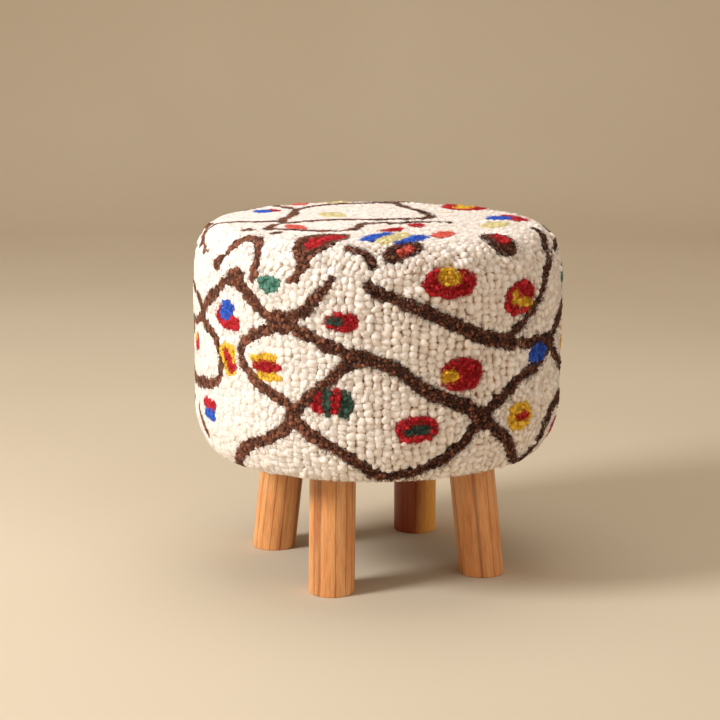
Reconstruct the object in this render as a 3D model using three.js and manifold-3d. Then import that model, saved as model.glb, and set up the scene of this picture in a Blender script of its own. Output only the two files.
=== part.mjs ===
// A Moroccan kursi stool: a round drum seat covered in hooked wool on four splayed teak legs.
// Lengths are millimetres, +Z is up, the front is -Y, and the origin is on the floor under the
// middle of the seat.
import * as THREE from 'three';
import { mergeGeometries, mergeVertices } from 'three/addons/utils/BufferGeometryUtils.js';
import Module from 'manifold-3d';

const wasm = await Module();
wasm.setup();

// Fits and cuts
const gap = 0.3; // left between pieces that touch
const overrun = 2; // how far a cutter passes the face that it opens

// Seat drum, measured over the wool
const seatRadius = 200;
const seatClearance = 137; // floor to the lowest wool
const seatHeight = 245; // lowest wool to the rim of the top
const seatCrown = 3; // rise of the top from its rim to its middle
const topEdgeRun = 39; // the rounded shoulder, measured inwards
const topEdgeRise = 57; // and downwards
const bottomEdgeRise = 50; // the roll under the seat, measured upwards
const topEdgePower = 2.45; // squarer than a circle's 2
const bottomEdgePower = 1.55; // flatter than a circle's 2

// Hooked wool cover: loops on a woven backing
const coverThickness = 8;
const backingThickness = 2;
const coverTurnUnder = 20; // bare backing and loops turned under the base board
const pileTurnUnder = 6; // loops alone
const seamTurnShare = 0.37; // place of the shoulder seam, from the side (0) to the top (1)

// Padding and the shell that it is glued to
const sideFoamThickness = 14;
const topFoamThickness = 34;
const foamFootRise = 3; // from the fold of the cover to the foot of the side foam
const shellThickness = 3;
const shellJointWidth = 1;

// Boards and posts
const baseBoardThickness = 18;
const topBoardThickness = 15;
const postWidth = 40;
const postThickness = 22;

// Countersunk screws that hold the boards to the posts
const postScrewRadius = 2.5;
const postScrewLength = 45;
const postScrewHeadRadius = 5;
const postScrewHeadHeight = 2.8;
const postScrewPoint = 4;

// Teak legs
const legRadius = 24.6;
const legSplay = THREE.MathUtils.degToRad(6.2);
const legSplayTurn = THREE.MathUtils.degToRad(21); // lean direction, turned from the radius
const footEase = 1.2;

// Hanger bolts, half in the leg and half in its plate
const boltRadius = 4;
const boltInLeg = 35;
const boltPoint = 6;
const boltBevel = 0.8;
const boltProud = 2; // past the hub of the plate

// Angled leg plates
const plateThickness = 2.5;
const plateSeatMin = 1; // thinnest edge of the slanting seat
const plateHubRadius = 8;
const plateHubHeight = 9;
const plateHubPlay = 1; // round the hub in the base board
const plateMargin = 1.5; // from the plate's opening to the fold of the dust cover
const plateOpeningMargin = 1.5; // round the plate in the dust cover

// Pan-head screws that hold the plates
const plateScrewRadius = 2;
const plateScrewLength = 15;
const plateScrewHeadRadius = 3.8;
const plateScrewHeadHeight = 2.4;
const plateScrewPoint = 3;
const plateScrewInset = 6; // from the edges of the plate
const plateScrewGap = 2.7; // from the leg to the heads

// Dust cover under the seat
const dustThickness = 0.8;
const dustMargin = 2; // from the edge of the loops

// Wire staples, all of one kind
const stapleCrown = 10;
const stapleLeg = 10;
const stapleWire = 0.7;
const stapleWidth = 1.2;
const coverStapleInset = 3.5; // from the inner edge of the cover
const dustStapleInset = 3; // from the outer edge of the dust cover

// Counts
const roundSides = 48;
const legSides = 24;
const boltSides = 12;
const screwSides = 8;
const coverStapleCount = 8;
const dustStapleCount = 4;

// Levels, from the floor up
const seatTop = seatClearance + seatHeight;
const coverFloor = seatClearance + coverThickness;
const backingBottom = coverFloor - backingThickness;
const baseBottom = coverFloor + gap;
const baseTop = baseBottom + baseBoardThickness;
const topFoamBottom = seatTop - coverThickness - gap - topFoamThickness;
const topBoardTop = topFoamBottom - gap;
const topBoardBottom = topBoardTop - topBoardThickness;
const plateBottom = baseBottom - gap - plateThickness;
const coverStapleBottom = backingBottom - gap - stapleWire;
const dustTop = baseBottom - gap;
const dustRimTop = coverStapleBottom - gap;
const dustStapleBottom = dustRimTop - dustThickness - gap - stapleWire;

// Radii, from the outside in
const rollRadius = seatRadius - coverThickness - sideFoamThickness; // where the roll under ends
const bottomEdgeRun = seatRadius - rollRadius;
const foamInset = coverThickness + gap;
const foamInner = seatRadius - foamInset - sideFoamThickness;
const shellOuter = foamInner - gap;
const shellInner = shellOuter - shellThickness;
const boardRadius = shellInner - gap;
const loopsInner = rollRadius - pileTurnUnder;
const backingInner = rollRadius - coverTurnUnder;
const dustOuter = loopsInner - dustMargin;
const dustRimInner = backingInner - gap;
const dustFold = dustRimInner - (dustTop - dustRimTop);
const coverStapleRadius = backingInner + coverStapleInset;
const dustStapleRadius = dustOuter - dustStapleInset;
const plateScrewReach = (legRadius + plateScrewGap + plateScrewHeadRadius) * Math.SQRT1_2;
const plateSide = 2 * (plateScrewReach + plateScrewInset);
const plateOpening = plateSide + 2 * plateOpeningMargin;
const legCircle = dustFold - plateMargin - plateOpening * Math.SQRT1_2;
const facetShare = Math.cos(Math.PI / roundSides); // flat of a round, as a share of its radius
const postFace = Math.sqrt((boardRadius * facetShare) ** 2 - (postWidth / 2) ** 2);
const postRadius = postFace - postThickness / 2;

// Finishes
const finish = (color, roughness, metalness = 0) =>
  new THREE.MeshStandardMaterial({ color, roughness, metalness, flatShading: true });
const teak = finish('#c8834f', 0.5);
const creamWool = finish('#e4d6c6', 0.95);
const steel = finish('#b4b6b8', 0.35, 1);
const plywood = finish('#cfae7c', 0.7);
const pine = finish('#dcbc88', 0.7);
const hardboard = finish('#8a623c', 0.75);
const foam = finish('#e8dfb8', 0.9);
const cambric = finish('#2b2927', 0.9);

// Merges shared corners and drops the empty triangles at a lathe's poles.
function weld(geometry) {
  geometry.deleteAttribute('normal');
  geometry.deleteAttribute('uv');
  const welded = mergeVertices(geometry);
  const corners = welded.index.array;
  const kept = [];
  for (let i = 0; i < corners.length; i += 3) {
    const [a, b, c] = corners.slice(i, i + 3);
    if (a !== b && b !== c && c !== a) kept.push(a, b, c);
  }
  welded.setIndex(kept);
  return welded;
}

// Turns a half outline of [radius, height] points about the Z axis.
function lathe(outline, sides = roundSides) {
  const points = outline.map(([radius, height]) => new THREE.Vector2(radius, height));
  return weld(new THREE.LatheGeometry(points, sides).rotateX(Math.PI / 2));
}

// As lathe, for an outline that stays off the axis and so closes on itself.
function latheRing(outline) {
  return lathe([...outline, outline[0]]);
}

function block(length, width, height) {
  return weld(new THREE.BoxGeometry(length, width, height));
}

function toSolid(geometry) {
  return new wasm.Manifold(new wasm.Mesh({
    numProp: 3,
    vertProperties: new Float32Array(geometry.attributes.position.array),
    triVerts: new Uint32Array(geometry.index.array),
  }));
}

function toGeometry(solid) {
  const { vertProperties, triVerts } = solid.getMesh();
  const geometry = new THREE.BufferGeometry();
  geometry.setAttribute('position', new THREE.BufferAttribute(vertProperties, 3));
  geometry.setIndex(new THREE.BufferAttribute(triVerts, 1));
  return geometry;
}

function cut(geometry, ...cutters) {
  return toGeometry(cutters.reduce((solid, cutter) => solid.subtract(toSolid(cutter)), toSolid(geometry)));
}

function join(...geometries) {
  return toGeometry(geometries.map(toSolid).reduce((whole, solid) => whole.add(solid)));
}

// Copies a geometry to each place in a list of matrices.
function copies(geometry, places) {
  return mergeGeometries(places.map((place) => geometry.clone().applyMatrix4(place)));
}

// Places evenly spaced round the Z axis, with X pointing out from the axis.
function placesRound(count, start, radius, height) {
  return Array.from({ length: count }, (_, i) => {
    const turn = new THREE.Matrix4().makeRotationZ(start + (i * 2 * Math.PI) / count);
    return turn.multiply(new THREE.Matrix4().makeTranslation(radius, 0, height));
  });
}

// The drum's outline, drawn in by an inset: a superellipse quarter at the shoulder and another
// at the roll under. A turn runs from 0 at the side to 1 at the top or the bottom.
function shoulderPoint(inset, turn) {
  const angle = (turn * Math.PI) / 2;
  const across = Math.cos(angle) ** (2 / topEdgePower);
  const up = Math.sin(angle) ** (2 / topEdgePower);
  return [
    seatRadius - topEdgeRun + (topEdgeRun - inset) * across,
    seatTop - topEdgeRise + (topEdgeRise - inset) * up,
  ];
}

function rollPoint(inset, turn) {
  const angle = (turn * Math.PI) / 2;
  const across = Math.cos(angle) ** (2 / bottomEdgePower);
  const down = Math.sin(angle) ** (2 / bottomEdgePower);
  return [
    rollRadius + (bottomEdgeRun - inset) * across,
    seatClearance + bottomEdgeRise - (bottomEdgeRise - inset) * down,
  ];
}

// The crowned top inside the shoulder, at a share of the flat's radius.
function crownPoint(inset, share) {
  const flat = seatRadius - topEdgeRun;
  return [flat * share, seatTop - inset + seatCrown * (1 - share ** 2)];
}

// Steps from one turn to another, both ends included.
function turns(from, to, steps) {
  return Array.from({ length: steps + 1 }, (_, i) => THREE.MathUtils.lerp(from, to, i / steps));
}

// The whole outline from the fold under the seat to the middle of its top. What lies inside the
// cover follows the same coarse steps as the cover's inner face, so that their facets nest.
function drumOutline(inset, rollTurns, sideTurns, topTurns) {
  return [
    ...rollTurns.map((turn) => rollPoint(inset, turn)),
    ...sideTurns.map((turn) => shoulderPoint(inset, turn)),
    ...topTurns.slice(1).map((turn) => shoulderPoint(inset, turn)),
    ...crownShares.map((share) => crownPoint(inset, share)),
    crownPoint(inset, 0),
  ];
}

const crownShares = [0.8, 0.5]; // rings of the crown between its rim and its middle
const outerOutline = drumOutline(0, turns(1, 0, 4), turns(0, seamTurnShare, 3), turns(seamTurnShare, 1, 6));
const insideOutline = (inset) =>
  drumOutline(inset, turns(1, 0, 3), turns(0, seamTurnShare, 2), turns(seamTurnShare, 1, 4));

// Parts of an outline, cut off square at a height.
function pointAt(outline, height) {
  const next = outline.findIndex(([, level]) => level > height);
  const [[lowRadius, low], [highRadius, high]] = [outline[next - 1], outline[next]];
  return [THREE.MathUtils.mapLinear(height, low, high, lowRadius, highRadius), height];
}

function above(outline, height) {
  return [pointAt(outline, height), ...outline.filter(([, level]) => level > height)];
}

function below(outline, height) {
  return [...outline.filter(([, level]) => level < height), pointAt(outline, height)];
}

// The seam slants inwards through the cover, from its face to its back.
const seamFace = shoulderPoint(0, seamTurnShare)[1];
const seamBack = shoulderPoint(coverThickness, seamTurnShare)[1];

function topPanelShape() {
  return lathe([
    ...above(insideOutline(coverThickness), seamBack + gap).toReversed(),
    ...above(outerOutline, seamFace + gap),
  ]);
}

function sideBandShape() {
  const band = latheRing([
    [backingInner, backingBottom],
    [loopsInner, backingBottom],
    [loopsInner, seatClearance],
    ...below(outerOutline, seamFace),
    ...below(insideOutline(coverThickness), seamBack).toReversed(),
    [backingInner, coverFloor],
  ]);
  return cut(band, copies(stapleHoles(), allStaplePlaces));
}

function topFoamShape() {
  return lathe([[0, topFoamBottom], ...above(insideOutline(foamInset), topFoamBottom)]);
}

function sideFoamShape() {
  const foot = seatClearance + foamInset + foamFootRise;
  return latheRing([
    [foamInner, foot],
    ...above(below(insideOutline(foamInset), topBoardTop), foot),
    [foamInner, topBoardTop],
  ]);
}

// A wire staple: its crown lies along Y with its outer face at height 0, and its legs point up.
function staple() {
  const half = stapleCrown / 2;
  const inside = half - stapleWire;
  const outline = new THREE.Shape([
    new THREE.Vector2(-half, 0),
    new THREE.Vector2(half, 0),
    new THREE.Vector2(half, stapleLeg),
    new THREE.Vector2(inside, stapleLeg),
    new THREE.Vector2(inside, stapleWire),
    new THREE.Vector2(-inside, stapleWire),
    new THREE.Vector2(-inside, stapleLeg),
    new THREE.Vector2(-half, stapleLeg),
  ]);
  const wire = new THREE.ExtrudeGeometry(outline, { depth: stapleWidth, bevelEnabled: false });
  return weld(wire.translate(0, 0, -stapleWidth / 2).rotateX(Math.PI / 2).rotateZ(Math.PI / 2));
}

// The two holes that a staple's legs go through.
function stapleHoles() {
  const hole = block(stapleWidth + 2 * gap, stapleWire + 2 * gap, stapleLeg + gap + overrun);
  hole.translate(0, 0, (stapleLeg + gap - overrun) / 2);
  const reach = (stapleCrown - stapleWire) / 2;
  return copies(hole, [-reach, reach].map((y) => new THREE.Matrix4().makeTranslation(0, y, 0)));
}

// Rings of staples driven up into the base board, crowns along the edge.
const coverStaplePlaces = placesRound(
  coverStapleCount, Math.PI / coverStapleCount, coverStapleRadius, coverStapleBottom);
const dustStaplePlaces = placesRound(
  dustStapleCount, Math.PI / dustStapleCount, dustStapleRadius, dustStapleBottom);
const allStaplePlaces = [...coverStaplePlaces, ...dustStaplePlaces];

function sideShellShape() {
  const tube = latheRing([
    [shellInner, baseBottom],
    [shellOuter, baseBottom],
    [shellOuter, topBoardTop],
    [shellInner, topBoardTop],
  ]);
  const height = topBoardTop - baseBottom + 2 * overrun;
  const slit = block(shellJointWidth, shellThickness + 2 * overrun, height);
  slit.translate(0, (shellInner + shellOuter) / 2, (baseBottom + topBoardTop) / 2);
  return cut(tube, slit);
}

// A countersunk screw, its head's face at height 0 and its point down.
function countersunkScrew() {
  return lathe([
    [0, -postScrewLength],
    [postScrewRadius, postScrewPoint - postScrewLength],
    [postScrewRadius, -postScrewHeadHeight],
    [postScrewHeadRadius, 0],
    [0, 0],
  ], screwSides);
}

function countersunkHole() {
  return lathe([
    [0, -postScrewLength - gap],
    [postScrewRadius + gap, postScrewPoint - postScrewLength],
    [postScrewRadius + gap, -postScrewHeadHeight],
    [postScrewHeadRadius + gap, 0],
    [postScrewHeadRadius + gap, overrun],
    [0, overrun],
  ], screwSides);
}

const sideNames = ['right', 'back', 'left', 'front'];
const postPlaces = placesRound(sideNames.length, 0, postRadius, (baseTop + topBoardBottom) / 2);
const topPostScrewPlaces = placesRound(sideNames.length, 0, postRadius, topBoardTop - gap);
const basePostScrewPlaces = placesRound(sideNames.length, 0, postRadius, baseBottom + gap)
  .map((place) => place.multiply(new THREE.Matrix4().makeRotationX(Math.PI)));

function postShape() {
  const height = topBoardBottom - baseTop - 2 * gap;
  const middle = (baseTop + topBoardBottom) / 2;
  const topHole = countersunkHole().translate(0, 0, topBoardTop - gap - middle);
  const baseHole = countersunkHole().rotateX(Math.PI).translate(0, 0, baseBottom + gap - middle);
  return cut(block(postThickness, postWidth, height), topHole, baseHole);
}

// A pan-head screw, the underside of its head at height 0 and its point up.
function panScrew() {
  return lathe([
    [0, -plateScrewHeadHeight],
    [plateScrewHeadRadius, -plateScrewHeadHeight / 2],
    [plateScrewHeadRadius, 0],
    [plateScrewRadius, 0],
    [plateScrewRadius, plateScrewLength - plateScrewPoint],
    [0, plateScrewLength],
  ], screwSides);
}

function panScrewHole() {
  return lathe([
    [0, -overrun],
    [plateScrewRadius + gap, -overrun],
    [plateScrewRadius + gap, plateScrewLength + gap],
    [0, plateScrewLength + gap],
  ], screwSides);
}

// Where a plate's screws go, in the plate's own frame.
const plateScrewPlaces = [[-1, -1], [1, -1], [1, 1], [-1, 1]].map(([x, y]) =>
  new THREE.Matrix4().makeTranslation(x * plateScrewReach, y * plateScrewReach, -gap));

// A round solid through rings that each follow a radius and a height at each angle, closed by a
// middle point at both ends.
function throughRings(rings, sides) {
  const positions = [];
  const corners = [];
  const point = (radius, height, angle) => {
    const x = radius * Math.cos(angle);
    positions.push(x, radius * Math.sin(angle), height(x));
  };
  for (const [radius, height] of rings) {
    for (let side = 0; side < sides; side++) point(radius, height, (side * 2 * Math.PI) / sides);
  }
  const first = positions.length / 3;
  point(0, rings[0][1], 0);
  point(0, rings.at(-1)[1], 0);
  for (let side = 0; side < sides; side++) {
    const next = (side + 1) % sides;
    corners.push(first, next, side);
    for (let ring = 0; ring + 1 < rings.length; ring++) {
      const low = ring * sides;
      const high = low + sides;
      corners.push(low + side, low + next, high + next, low + side, high + next, high + side);
    }
    const last = (rings.length - 1) * sides;
    corners.push(first + 1, last + side, last + next);
  }
  const geometry = new THREE.BufferGeometry();
  geometry.setAttribute('position', new THREE.Float32BufferAttribute(positions, 3));
  geometry.setIndex(corners);
  return geometry;
}

// The leg, its bolt and its plate are drawn about the leg's axis, with height 0 where the axis
// meets the underside of the plate and X pointing down the lean. There a level plane slants.
const levelPlane = (level) => (x) => (level - plateBottom - x * Math.sin(legSplay)) / Math.cos(legSplay);
const squarePlane = (height) => () => height;
const legTop = -plateSeatMin / Math.cos(legSplay) - legRadius * Math.tan(legSplay);
const hubTop = plateThickness + plateHubHeight;

function legShape() {
  const holeRadius = boltRadius + gap;
  return throughRings([
    [legRadius - footEase, levelPlane(0)],
    [legRadius, levelPlane(footEase)],
    [legRadius, squarePlane(legTop - gap)],
    [holeRadius, squarePlane(legTop - gap)],
    [holeRadius, squarePlane(legTop - boltInLeg - gap)],
  ], legSides);
}

function boltShape() {
  return lathe([
    [0, legTop - boltInLeg],
    [boltRadius, legTop - boltInLeg + boltPoint],
    [boltRadius, hubTop + boltProud - boltBevel],
    [boltRadius - boltBevel, hubTop + boltProud],
    [0, hubTop + boltProud],
  ], boltSides);
}

function roundBar(radius, bottom, top, sides) {
  return lathe([[0, bottom], [radius, bottom], [radius, top], [0, top]], sides);
}

// The plate's own frame is level, so what follows the leg's axis is tilted into it.
function plateShape() {
  const flat = block(plateSide, plateSide, plateThickness).translate(0, 0, plateThickness / 2);
  const seat = throughRings([
    [legRadius, squarePlane(legTop)],
    [legRadius, levelPlane(plateBottom + plateThickness / 2)],
  ], legSides).rotateY(-legSplay);
  const hub = roundBar(plateHubRadius, 0, hubTop, boltSides).rotateY(-legSplay);
  const bore = roundBar(boltRadius + gap, legTop - overrun, hubTop + overrun, boltSides);
  const screwHoles = copies(panScrewHole(), plateScrewPlaces);
  return cut(join(flat, seat, hub), bore.rotateY(-legSplay), screwHoles);
}

// Each corner of the seat: a level group at its plate and a leaning group inside that.
function makeCorner(azimuth) {
  const corner = new THREE.Group();
  corner.rotation.z = azimuth;
  const level = new THREE.Group();
  level.position.set(legCircle, 0, plateBottom);
  level.rotation.z = legSplayTurn;
  const leaning = new THREE.Group();
  leaning.rotation.y = -legSplay;
  level.add(leaning);
  corner.add(level);
  corner.updateMatrixWorld(true);
  return { corner, level, leaning };
}

const cornerNames = ['back_right', 'back_left', 'front_left', 'front_right'];
const corners = cornerNames.map((name, i) => ({ name, ...makeCorner(((2 * i + 1) * Math.PI) / 4) }));

function baseBoardShape() {
  const disc = lathe([[0, baseBottom], [boardRadius, baseBottom], [boardRadius, baseTop], [0, baseTop]]);
  const hubHole = roundBar(plateHubRadius + plateHubPlay, 0, baseBoardThickness + hubTop, boltSides);
  const hubHoles = copies(hubHole, corners.map(({ leaning }) => leaning.matrixWorld));
  const pilots = copies(panScrewHole(), plateScrewPlaces);
  const plateHoles = copies(pilots, corners.map(({ level }) => level.matrixWorld));
  const postHoles = copies(countersunkHole(), basePostScrewPlaces);
  return cut(disc, hubHoles, plateHoles, postHoles, copies(stapleHoles(), allStaplePlaces));
}

function topBoardShape() {
  const disc = lathe([
    [0, topBoardBottom],
    [boardRadius, topBoardBottom],
    [boardRadius, topBoardTop],
    [0, topBoardTop],
  ]);
  return cut(disc, copies(countersunkHole(), topPostScrewPlaces));
}

// A dished sheet: its middle lies on the board and its rim under the turned-in cover.
function dustCoverShape() {
  const sheet = lathe([
    [0, dustTop - dustThickness],
    [dustFold, dustTop - dustThickness],
    [dustRimInner, dustRimTop - dustThickness],
    [dustOuter, dustRimTop - dustThickness],
    [dustOuter, dustRimTop],
    [dustRimInner, dustRimTop],
    [dustFold, dustTop],
    [0, dustTop],
  ]);
  const opening = block(plateOpening, plateOpening, 2 * overrun);
  opening.translate(0, 0, dustTop - dustThickness / 2 - plateBottom);
  const openings = copies(opening, corners.map(({ level }) => level.matrixWorld));
  return cut(sheet, openings, copies(stapleHoles(), dustStaplePlaces));
}

const stool = new THREE.Group();

function addPiece(parent, name, geometry, material, place) {
  const mesh = new THREE.Mesh(geometry, material);
  mesh.name = name;
  if (place) mesh.applyMatrix4(place);
  parent.add(mesh);
}

function addCopies(parent, stem, endings, geometry, material, places) {
  places.forEach((place, i) => addPiece(parent, `${stem}_${endings[i]}`, geometry, material, place));
}

const leg = legShape();
const hangerBolt = boltShape();
const legPlate = plateShape();
const legScrew = panScrew();
const numbers = Array.from({ length: coverStapleCount }, (_, i) => i + 1);
for (const { name, corner, level, leaning } of corners) {
  addPiece(leaning, `leg_${name}`, leg, teak);
  addPiece(leaning, `hanger_bolt_${name}`, hangerBolt, steel);
  addPiece(level, `leg_plate_${name}`, legPlate, steel);
  addCopies(level, `leg_screw_${name}`, numbers, legScrew, steel, plateScrewPlaces);
  stool.add(corner);
}
addPiece(stool, 'base_board', baseBoardShape(), plywood);
addPiece(stool, 'top_board', topBoardShape(), plywood);
addCopies(stool, 'frame_post', sideNames, postShape(), pine, postPlaces);
addCopies(stool, 'top_post_screw', sideNames, countersunkScrew(), steel, topPostScrewPlaces);
addCopies(stool, 'base_post_screw', sideNames, countersunkScrew(), steel, basePostScrewPlaces);
addPiece(stool, 'side_shell', sideShellShape(), hardboard);
addPiece(stool, 'side_foam', sideFoamShape(), foam);
addPiece(stool, 'top_foam', topFoamShape(), foam);
addPiece(stool, 'side_band', sideBandShape(), creamWool);
addPiece(stool, 'top_panel', topPanelShape(), creamWool);
addCopies(stool, 'cover_staple', numbers, staple(), steel, coverStaplePlaces);
addPiece(stool, 'dust_cover', dustCoverShape(), cambric);
addCopies(stool, 'dust_cover_staple', numbers, staple(), steel, dustStaplePlaces);

export default stool;
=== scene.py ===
import math
import bpy
import numpy as np
from mathutils import Matrix, Vector


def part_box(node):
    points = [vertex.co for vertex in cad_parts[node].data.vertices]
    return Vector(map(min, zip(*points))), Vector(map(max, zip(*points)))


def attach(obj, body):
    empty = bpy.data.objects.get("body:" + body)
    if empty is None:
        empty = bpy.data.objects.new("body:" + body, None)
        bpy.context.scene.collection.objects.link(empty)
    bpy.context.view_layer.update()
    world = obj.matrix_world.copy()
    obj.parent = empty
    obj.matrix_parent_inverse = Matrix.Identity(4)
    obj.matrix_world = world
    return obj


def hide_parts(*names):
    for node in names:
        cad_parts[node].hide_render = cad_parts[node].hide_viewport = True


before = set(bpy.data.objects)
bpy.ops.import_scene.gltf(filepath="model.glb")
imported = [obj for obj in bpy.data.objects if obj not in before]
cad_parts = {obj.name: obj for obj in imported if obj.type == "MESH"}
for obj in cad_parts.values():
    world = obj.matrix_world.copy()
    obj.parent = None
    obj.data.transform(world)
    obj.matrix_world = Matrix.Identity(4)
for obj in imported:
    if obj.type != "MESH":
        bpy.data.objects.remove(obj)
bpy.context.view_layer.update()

mm = 0.001
fullTurn = 2 * math.pi
wavePeriod = fullTurn / 20  # of a Wave texture's rings or straight bands at scale 1
scene = bpy.context.scene
scene.view_settings.view_transform = "Standard"
print("frame loaded:", len(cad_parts), "nodes")


def linear(colour):  # an sRGB hex value, as linear red, green, blue and alpha
    shares = [int(colour[i:i + 2], 16) / 255 for i in (1, 3, 5)]
    return [s / 12.92 if s <= 0.04045 else ((s + 0.055) / 1.055) ** 2.4 for s in shares] + [1.0]


def addNode(tree, kind, inputs=None, stops=None, **settings):
    # adds a node, sets its properties and a ramp's stops, and sets or links its sockets
    node = tree.nodes.new(kind)
    for name, value in settings.items():
        setattr(node, name, value)
    for i, (place, colour) in enumerate(stops or []):
        ramp = node.color_ramp.elements
        stop = ramp[i] if i < len(ramp) else ramp.new(place)
        stop.position, stop.color = place, linear(colour)
    for socket, value in (inputs or {}).items():
        if isinstance(value, bpy.types.NodeSocket):
            tree.links.new(value, node.inputs[socket])
        else:
            node.inputs[socket].default_value = value
    return node


def newMaterial(name, **sockets):
    # an empty material with a Principled shader, whose plain values sit on its own sockets
    material = bpy.data.materials.new(name)
    material.use_nodes = True
    tree = material.node_tree
    tree.nodes.clear()
    plain = {key.replace("_", " "): value for key, value in sockets.items()}
    shader = addNode(tree, "ShaderNodeBsdfPrincipled", plain)
    addNode(tree, "ShaderNodeOutputMaterial", {"Surface": shader.outputs[0]})
    return material, tree, shader


def feed(shader, **outputs):  # links outputs to the shader's sockets
    for name, output in outputs.items():
        shader.id_data.links.new(output, shader.inputs[name.replace("_", " ")])


def toneAndBump(tree, shader, height, stops, depth, strength):
    # one pattern gives both the colour, through a ramp, and bumps of a depth
    tone = addNode(tree, "ShaderNodeValToRGB", {"Fac": height}, stops=stops)
    bump = addNode(tree, "ShaderNodeBump", {"Height": height, "Distance": depth, "Strength": strength})
    feed(shader, Base_Color=tone.outputs["Color"], Normal=bump.outputs[0])


def newPiece(name, points, faces, material, smooth=True, uv=None, attributes=None):
    # points is an array of places, and faces a list of arrays of triangles or quads
    mesh = bpy.data.meshes.new(name)
    mesh.vertices.add(len(points))
    mesh.vertices.foreach_set("co", points.astype(np.float32).ravel())
    corners = np.concatenate([f.ravel() for f in faces]).astype(np.int32)
    sides = np.concatenate([np.full(len(f), f.shape[1]) for f in faces])
    mesh.loops.add(len(corners))
    mesh.loops.foreach_set("vertex_index", corners)
    mesh.polygons.add(len(sides))
    mesh.polygons.foreach_set("loop_start", (np.cumsum(sides) - sides).astype(np.int32))
    mesh.polygons.foreach_set("use_smooth", np.full(len(sides), smooth))
    for key, values in (attributes or {}).items():
        layer = mesh.attributes.new(key, "FLOAT_VECTOR", "POINT")
        layer.data.foreach_set("vector", values.astype(np.float32).ravel())
    if uv is not None:
        layer = mesh.uv_layers.new(name="yarn")
        layer.data.foreach_set("uv", uv[corners].astype(np.float32).ravel())
    mesh.update(calc_edges=True)
    mesh.validate()
    mesh.materials.append(material)
    piece = bpy.data.objects.new(name, mesh)
    scene.collection.objects.link(piece)
    return piece


def gridFaces(rows, columns, wrapped=True):
    # quads between neighbouring points of a rows by columns grid, closed round its columns
    row, column = np.mgrid[0:rows - 1, 0:columns if wrapped else columns - 1]
    here, after = row * columns + column, row * columns + (column + 1) % columns
    return np.stack([here, after, after + columns, here + columns], -1).reshape(-1, 4)


def tubeFaces(rows, columns):  # the same, closed from the last row to the first as well
    return gridFaces(rows + 1, columns) % (rows * columns)


def fan(start, middle, sides):
    # triangles from a ring, whose points begin at start, to the point in its middle
    ring = np.arange(sides)
    return np.stack([start + ring, start + (ring + 1) % sides, 0 * ring + middle], -1)


def cappedFaces(rows, sides):
    # the walls of a turned form, and fans to the middles of its first and last ring, which are the
    # two points after its rings
    middle = rows * sides
    caps = np.concatenate([fan(0, middle, sides)[:, [1, 0, 2]], fan(middle - sides, middle + 1, sides)])
    return [caps, gridFaces(rows, sides)]


# Camera

camera = {
    "distance": 2028 * mm,  # level, from the middle of the stool
    "height": 649 * mm,
    "azimuth": -20.8,  # degrees, from the stool's front towards its left
    "tilt": 11.75,  # degrees down
    "pan": -0.52,
    "roll": 0.29,
    "lens": 93.95,  # millimetres
    "sensor": 36,
}


def makeCamera():
    azimuth, tilt, pan, roll = (math.radians(camera[k]) for k in ("azimuth", "tilt", "pan", "roll"))
    ahead = Vector((-math.sin(azimuth), math.cos(azimuth), 0))
    right = Vector((ahead.y, -ahead.x, 0))
    up = Vector((0, 0, 1))
    level = ahead * math.cos(pan) + right * math.sin(pan)
    across = right * math.cos(pan) - ahead * math.sin(pan)
    view = level * math.cos(tilt) - up * math.sin(tilt)
    top = level * math.sin(tilt) + up * math.cos(tilt)
    columns = (across * math.cos(roll) + top * math.sin(roll),
               top * math.cos(roll) - across * math.sin(roll), -view)
    data = bpy.data.cameras.new("photoCamera")
    data.lens, data.sensor_width = camera["lens"], camera["sensor"]
    eye = bpy.data.objects.new("photoCamera", data)
    place = Matrix.Translation(-ahead * camera["distance"] + up * camera["height"])
    eye.matrix_world = place @ Matrix(columns).transposed().to_4x4()
    scene.collection.objects.link(eye)
    scene.camera = eye


makeCamera()
print("camera placed")


# Floor, backdrop and light

studio = {
    "paper": ("#cdbfa7", "#d4c7b0"),
    "mottle": 1.1,  # patches of tone to a metre
    "floorBehind": 12.0,  # metres from the stool to the floor's near edge
    "floorReach": 2.6,  # and to where it turns up
    "halfWidth": 14.0,
    "coveRadius": 1.0,
    "wallTop": 3.0,
    "sky": "#ffe9d2", "skyStrength": 0.52,
    "aim": (0, 0, 0.22),  # the point that the lamps face
    "lamps": {
        "key": {"power": 62, "size": 0.8, "place": (-2.25, -0.15, 1.62)},
        "fill": {"power": 6, "size": 1.6, "place": (1.5, -2.3, 1.1)},
        "top": {"power": 12, "size": 1.6, "place": (0.1, 0.3, 2.4)},
    },
}


def paintedPaper():  # seamless studio paper, matt, with a faint mottle
    material, tree, shader = newMaterial("seamlessPaper", Roughness=0.92)
    place = addNode(tree, "ShaderNodeTexCoord").outputs["Object"]
    mottle = addNode(tree, "ShaderNodeTexNoise", {"Vector": place, "Scale": studio["mottle"], "Detail": 2})
    tone = addNode(tree, "ShaderNodeValToRGB", {"Fac": mottle.outputs["Fac"]},
                   stops=list(zip((0.3, 0.7), studio["paper"])))
    feed(shader, Base_Color=tone.outputs["Color"])
    return material


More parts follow.
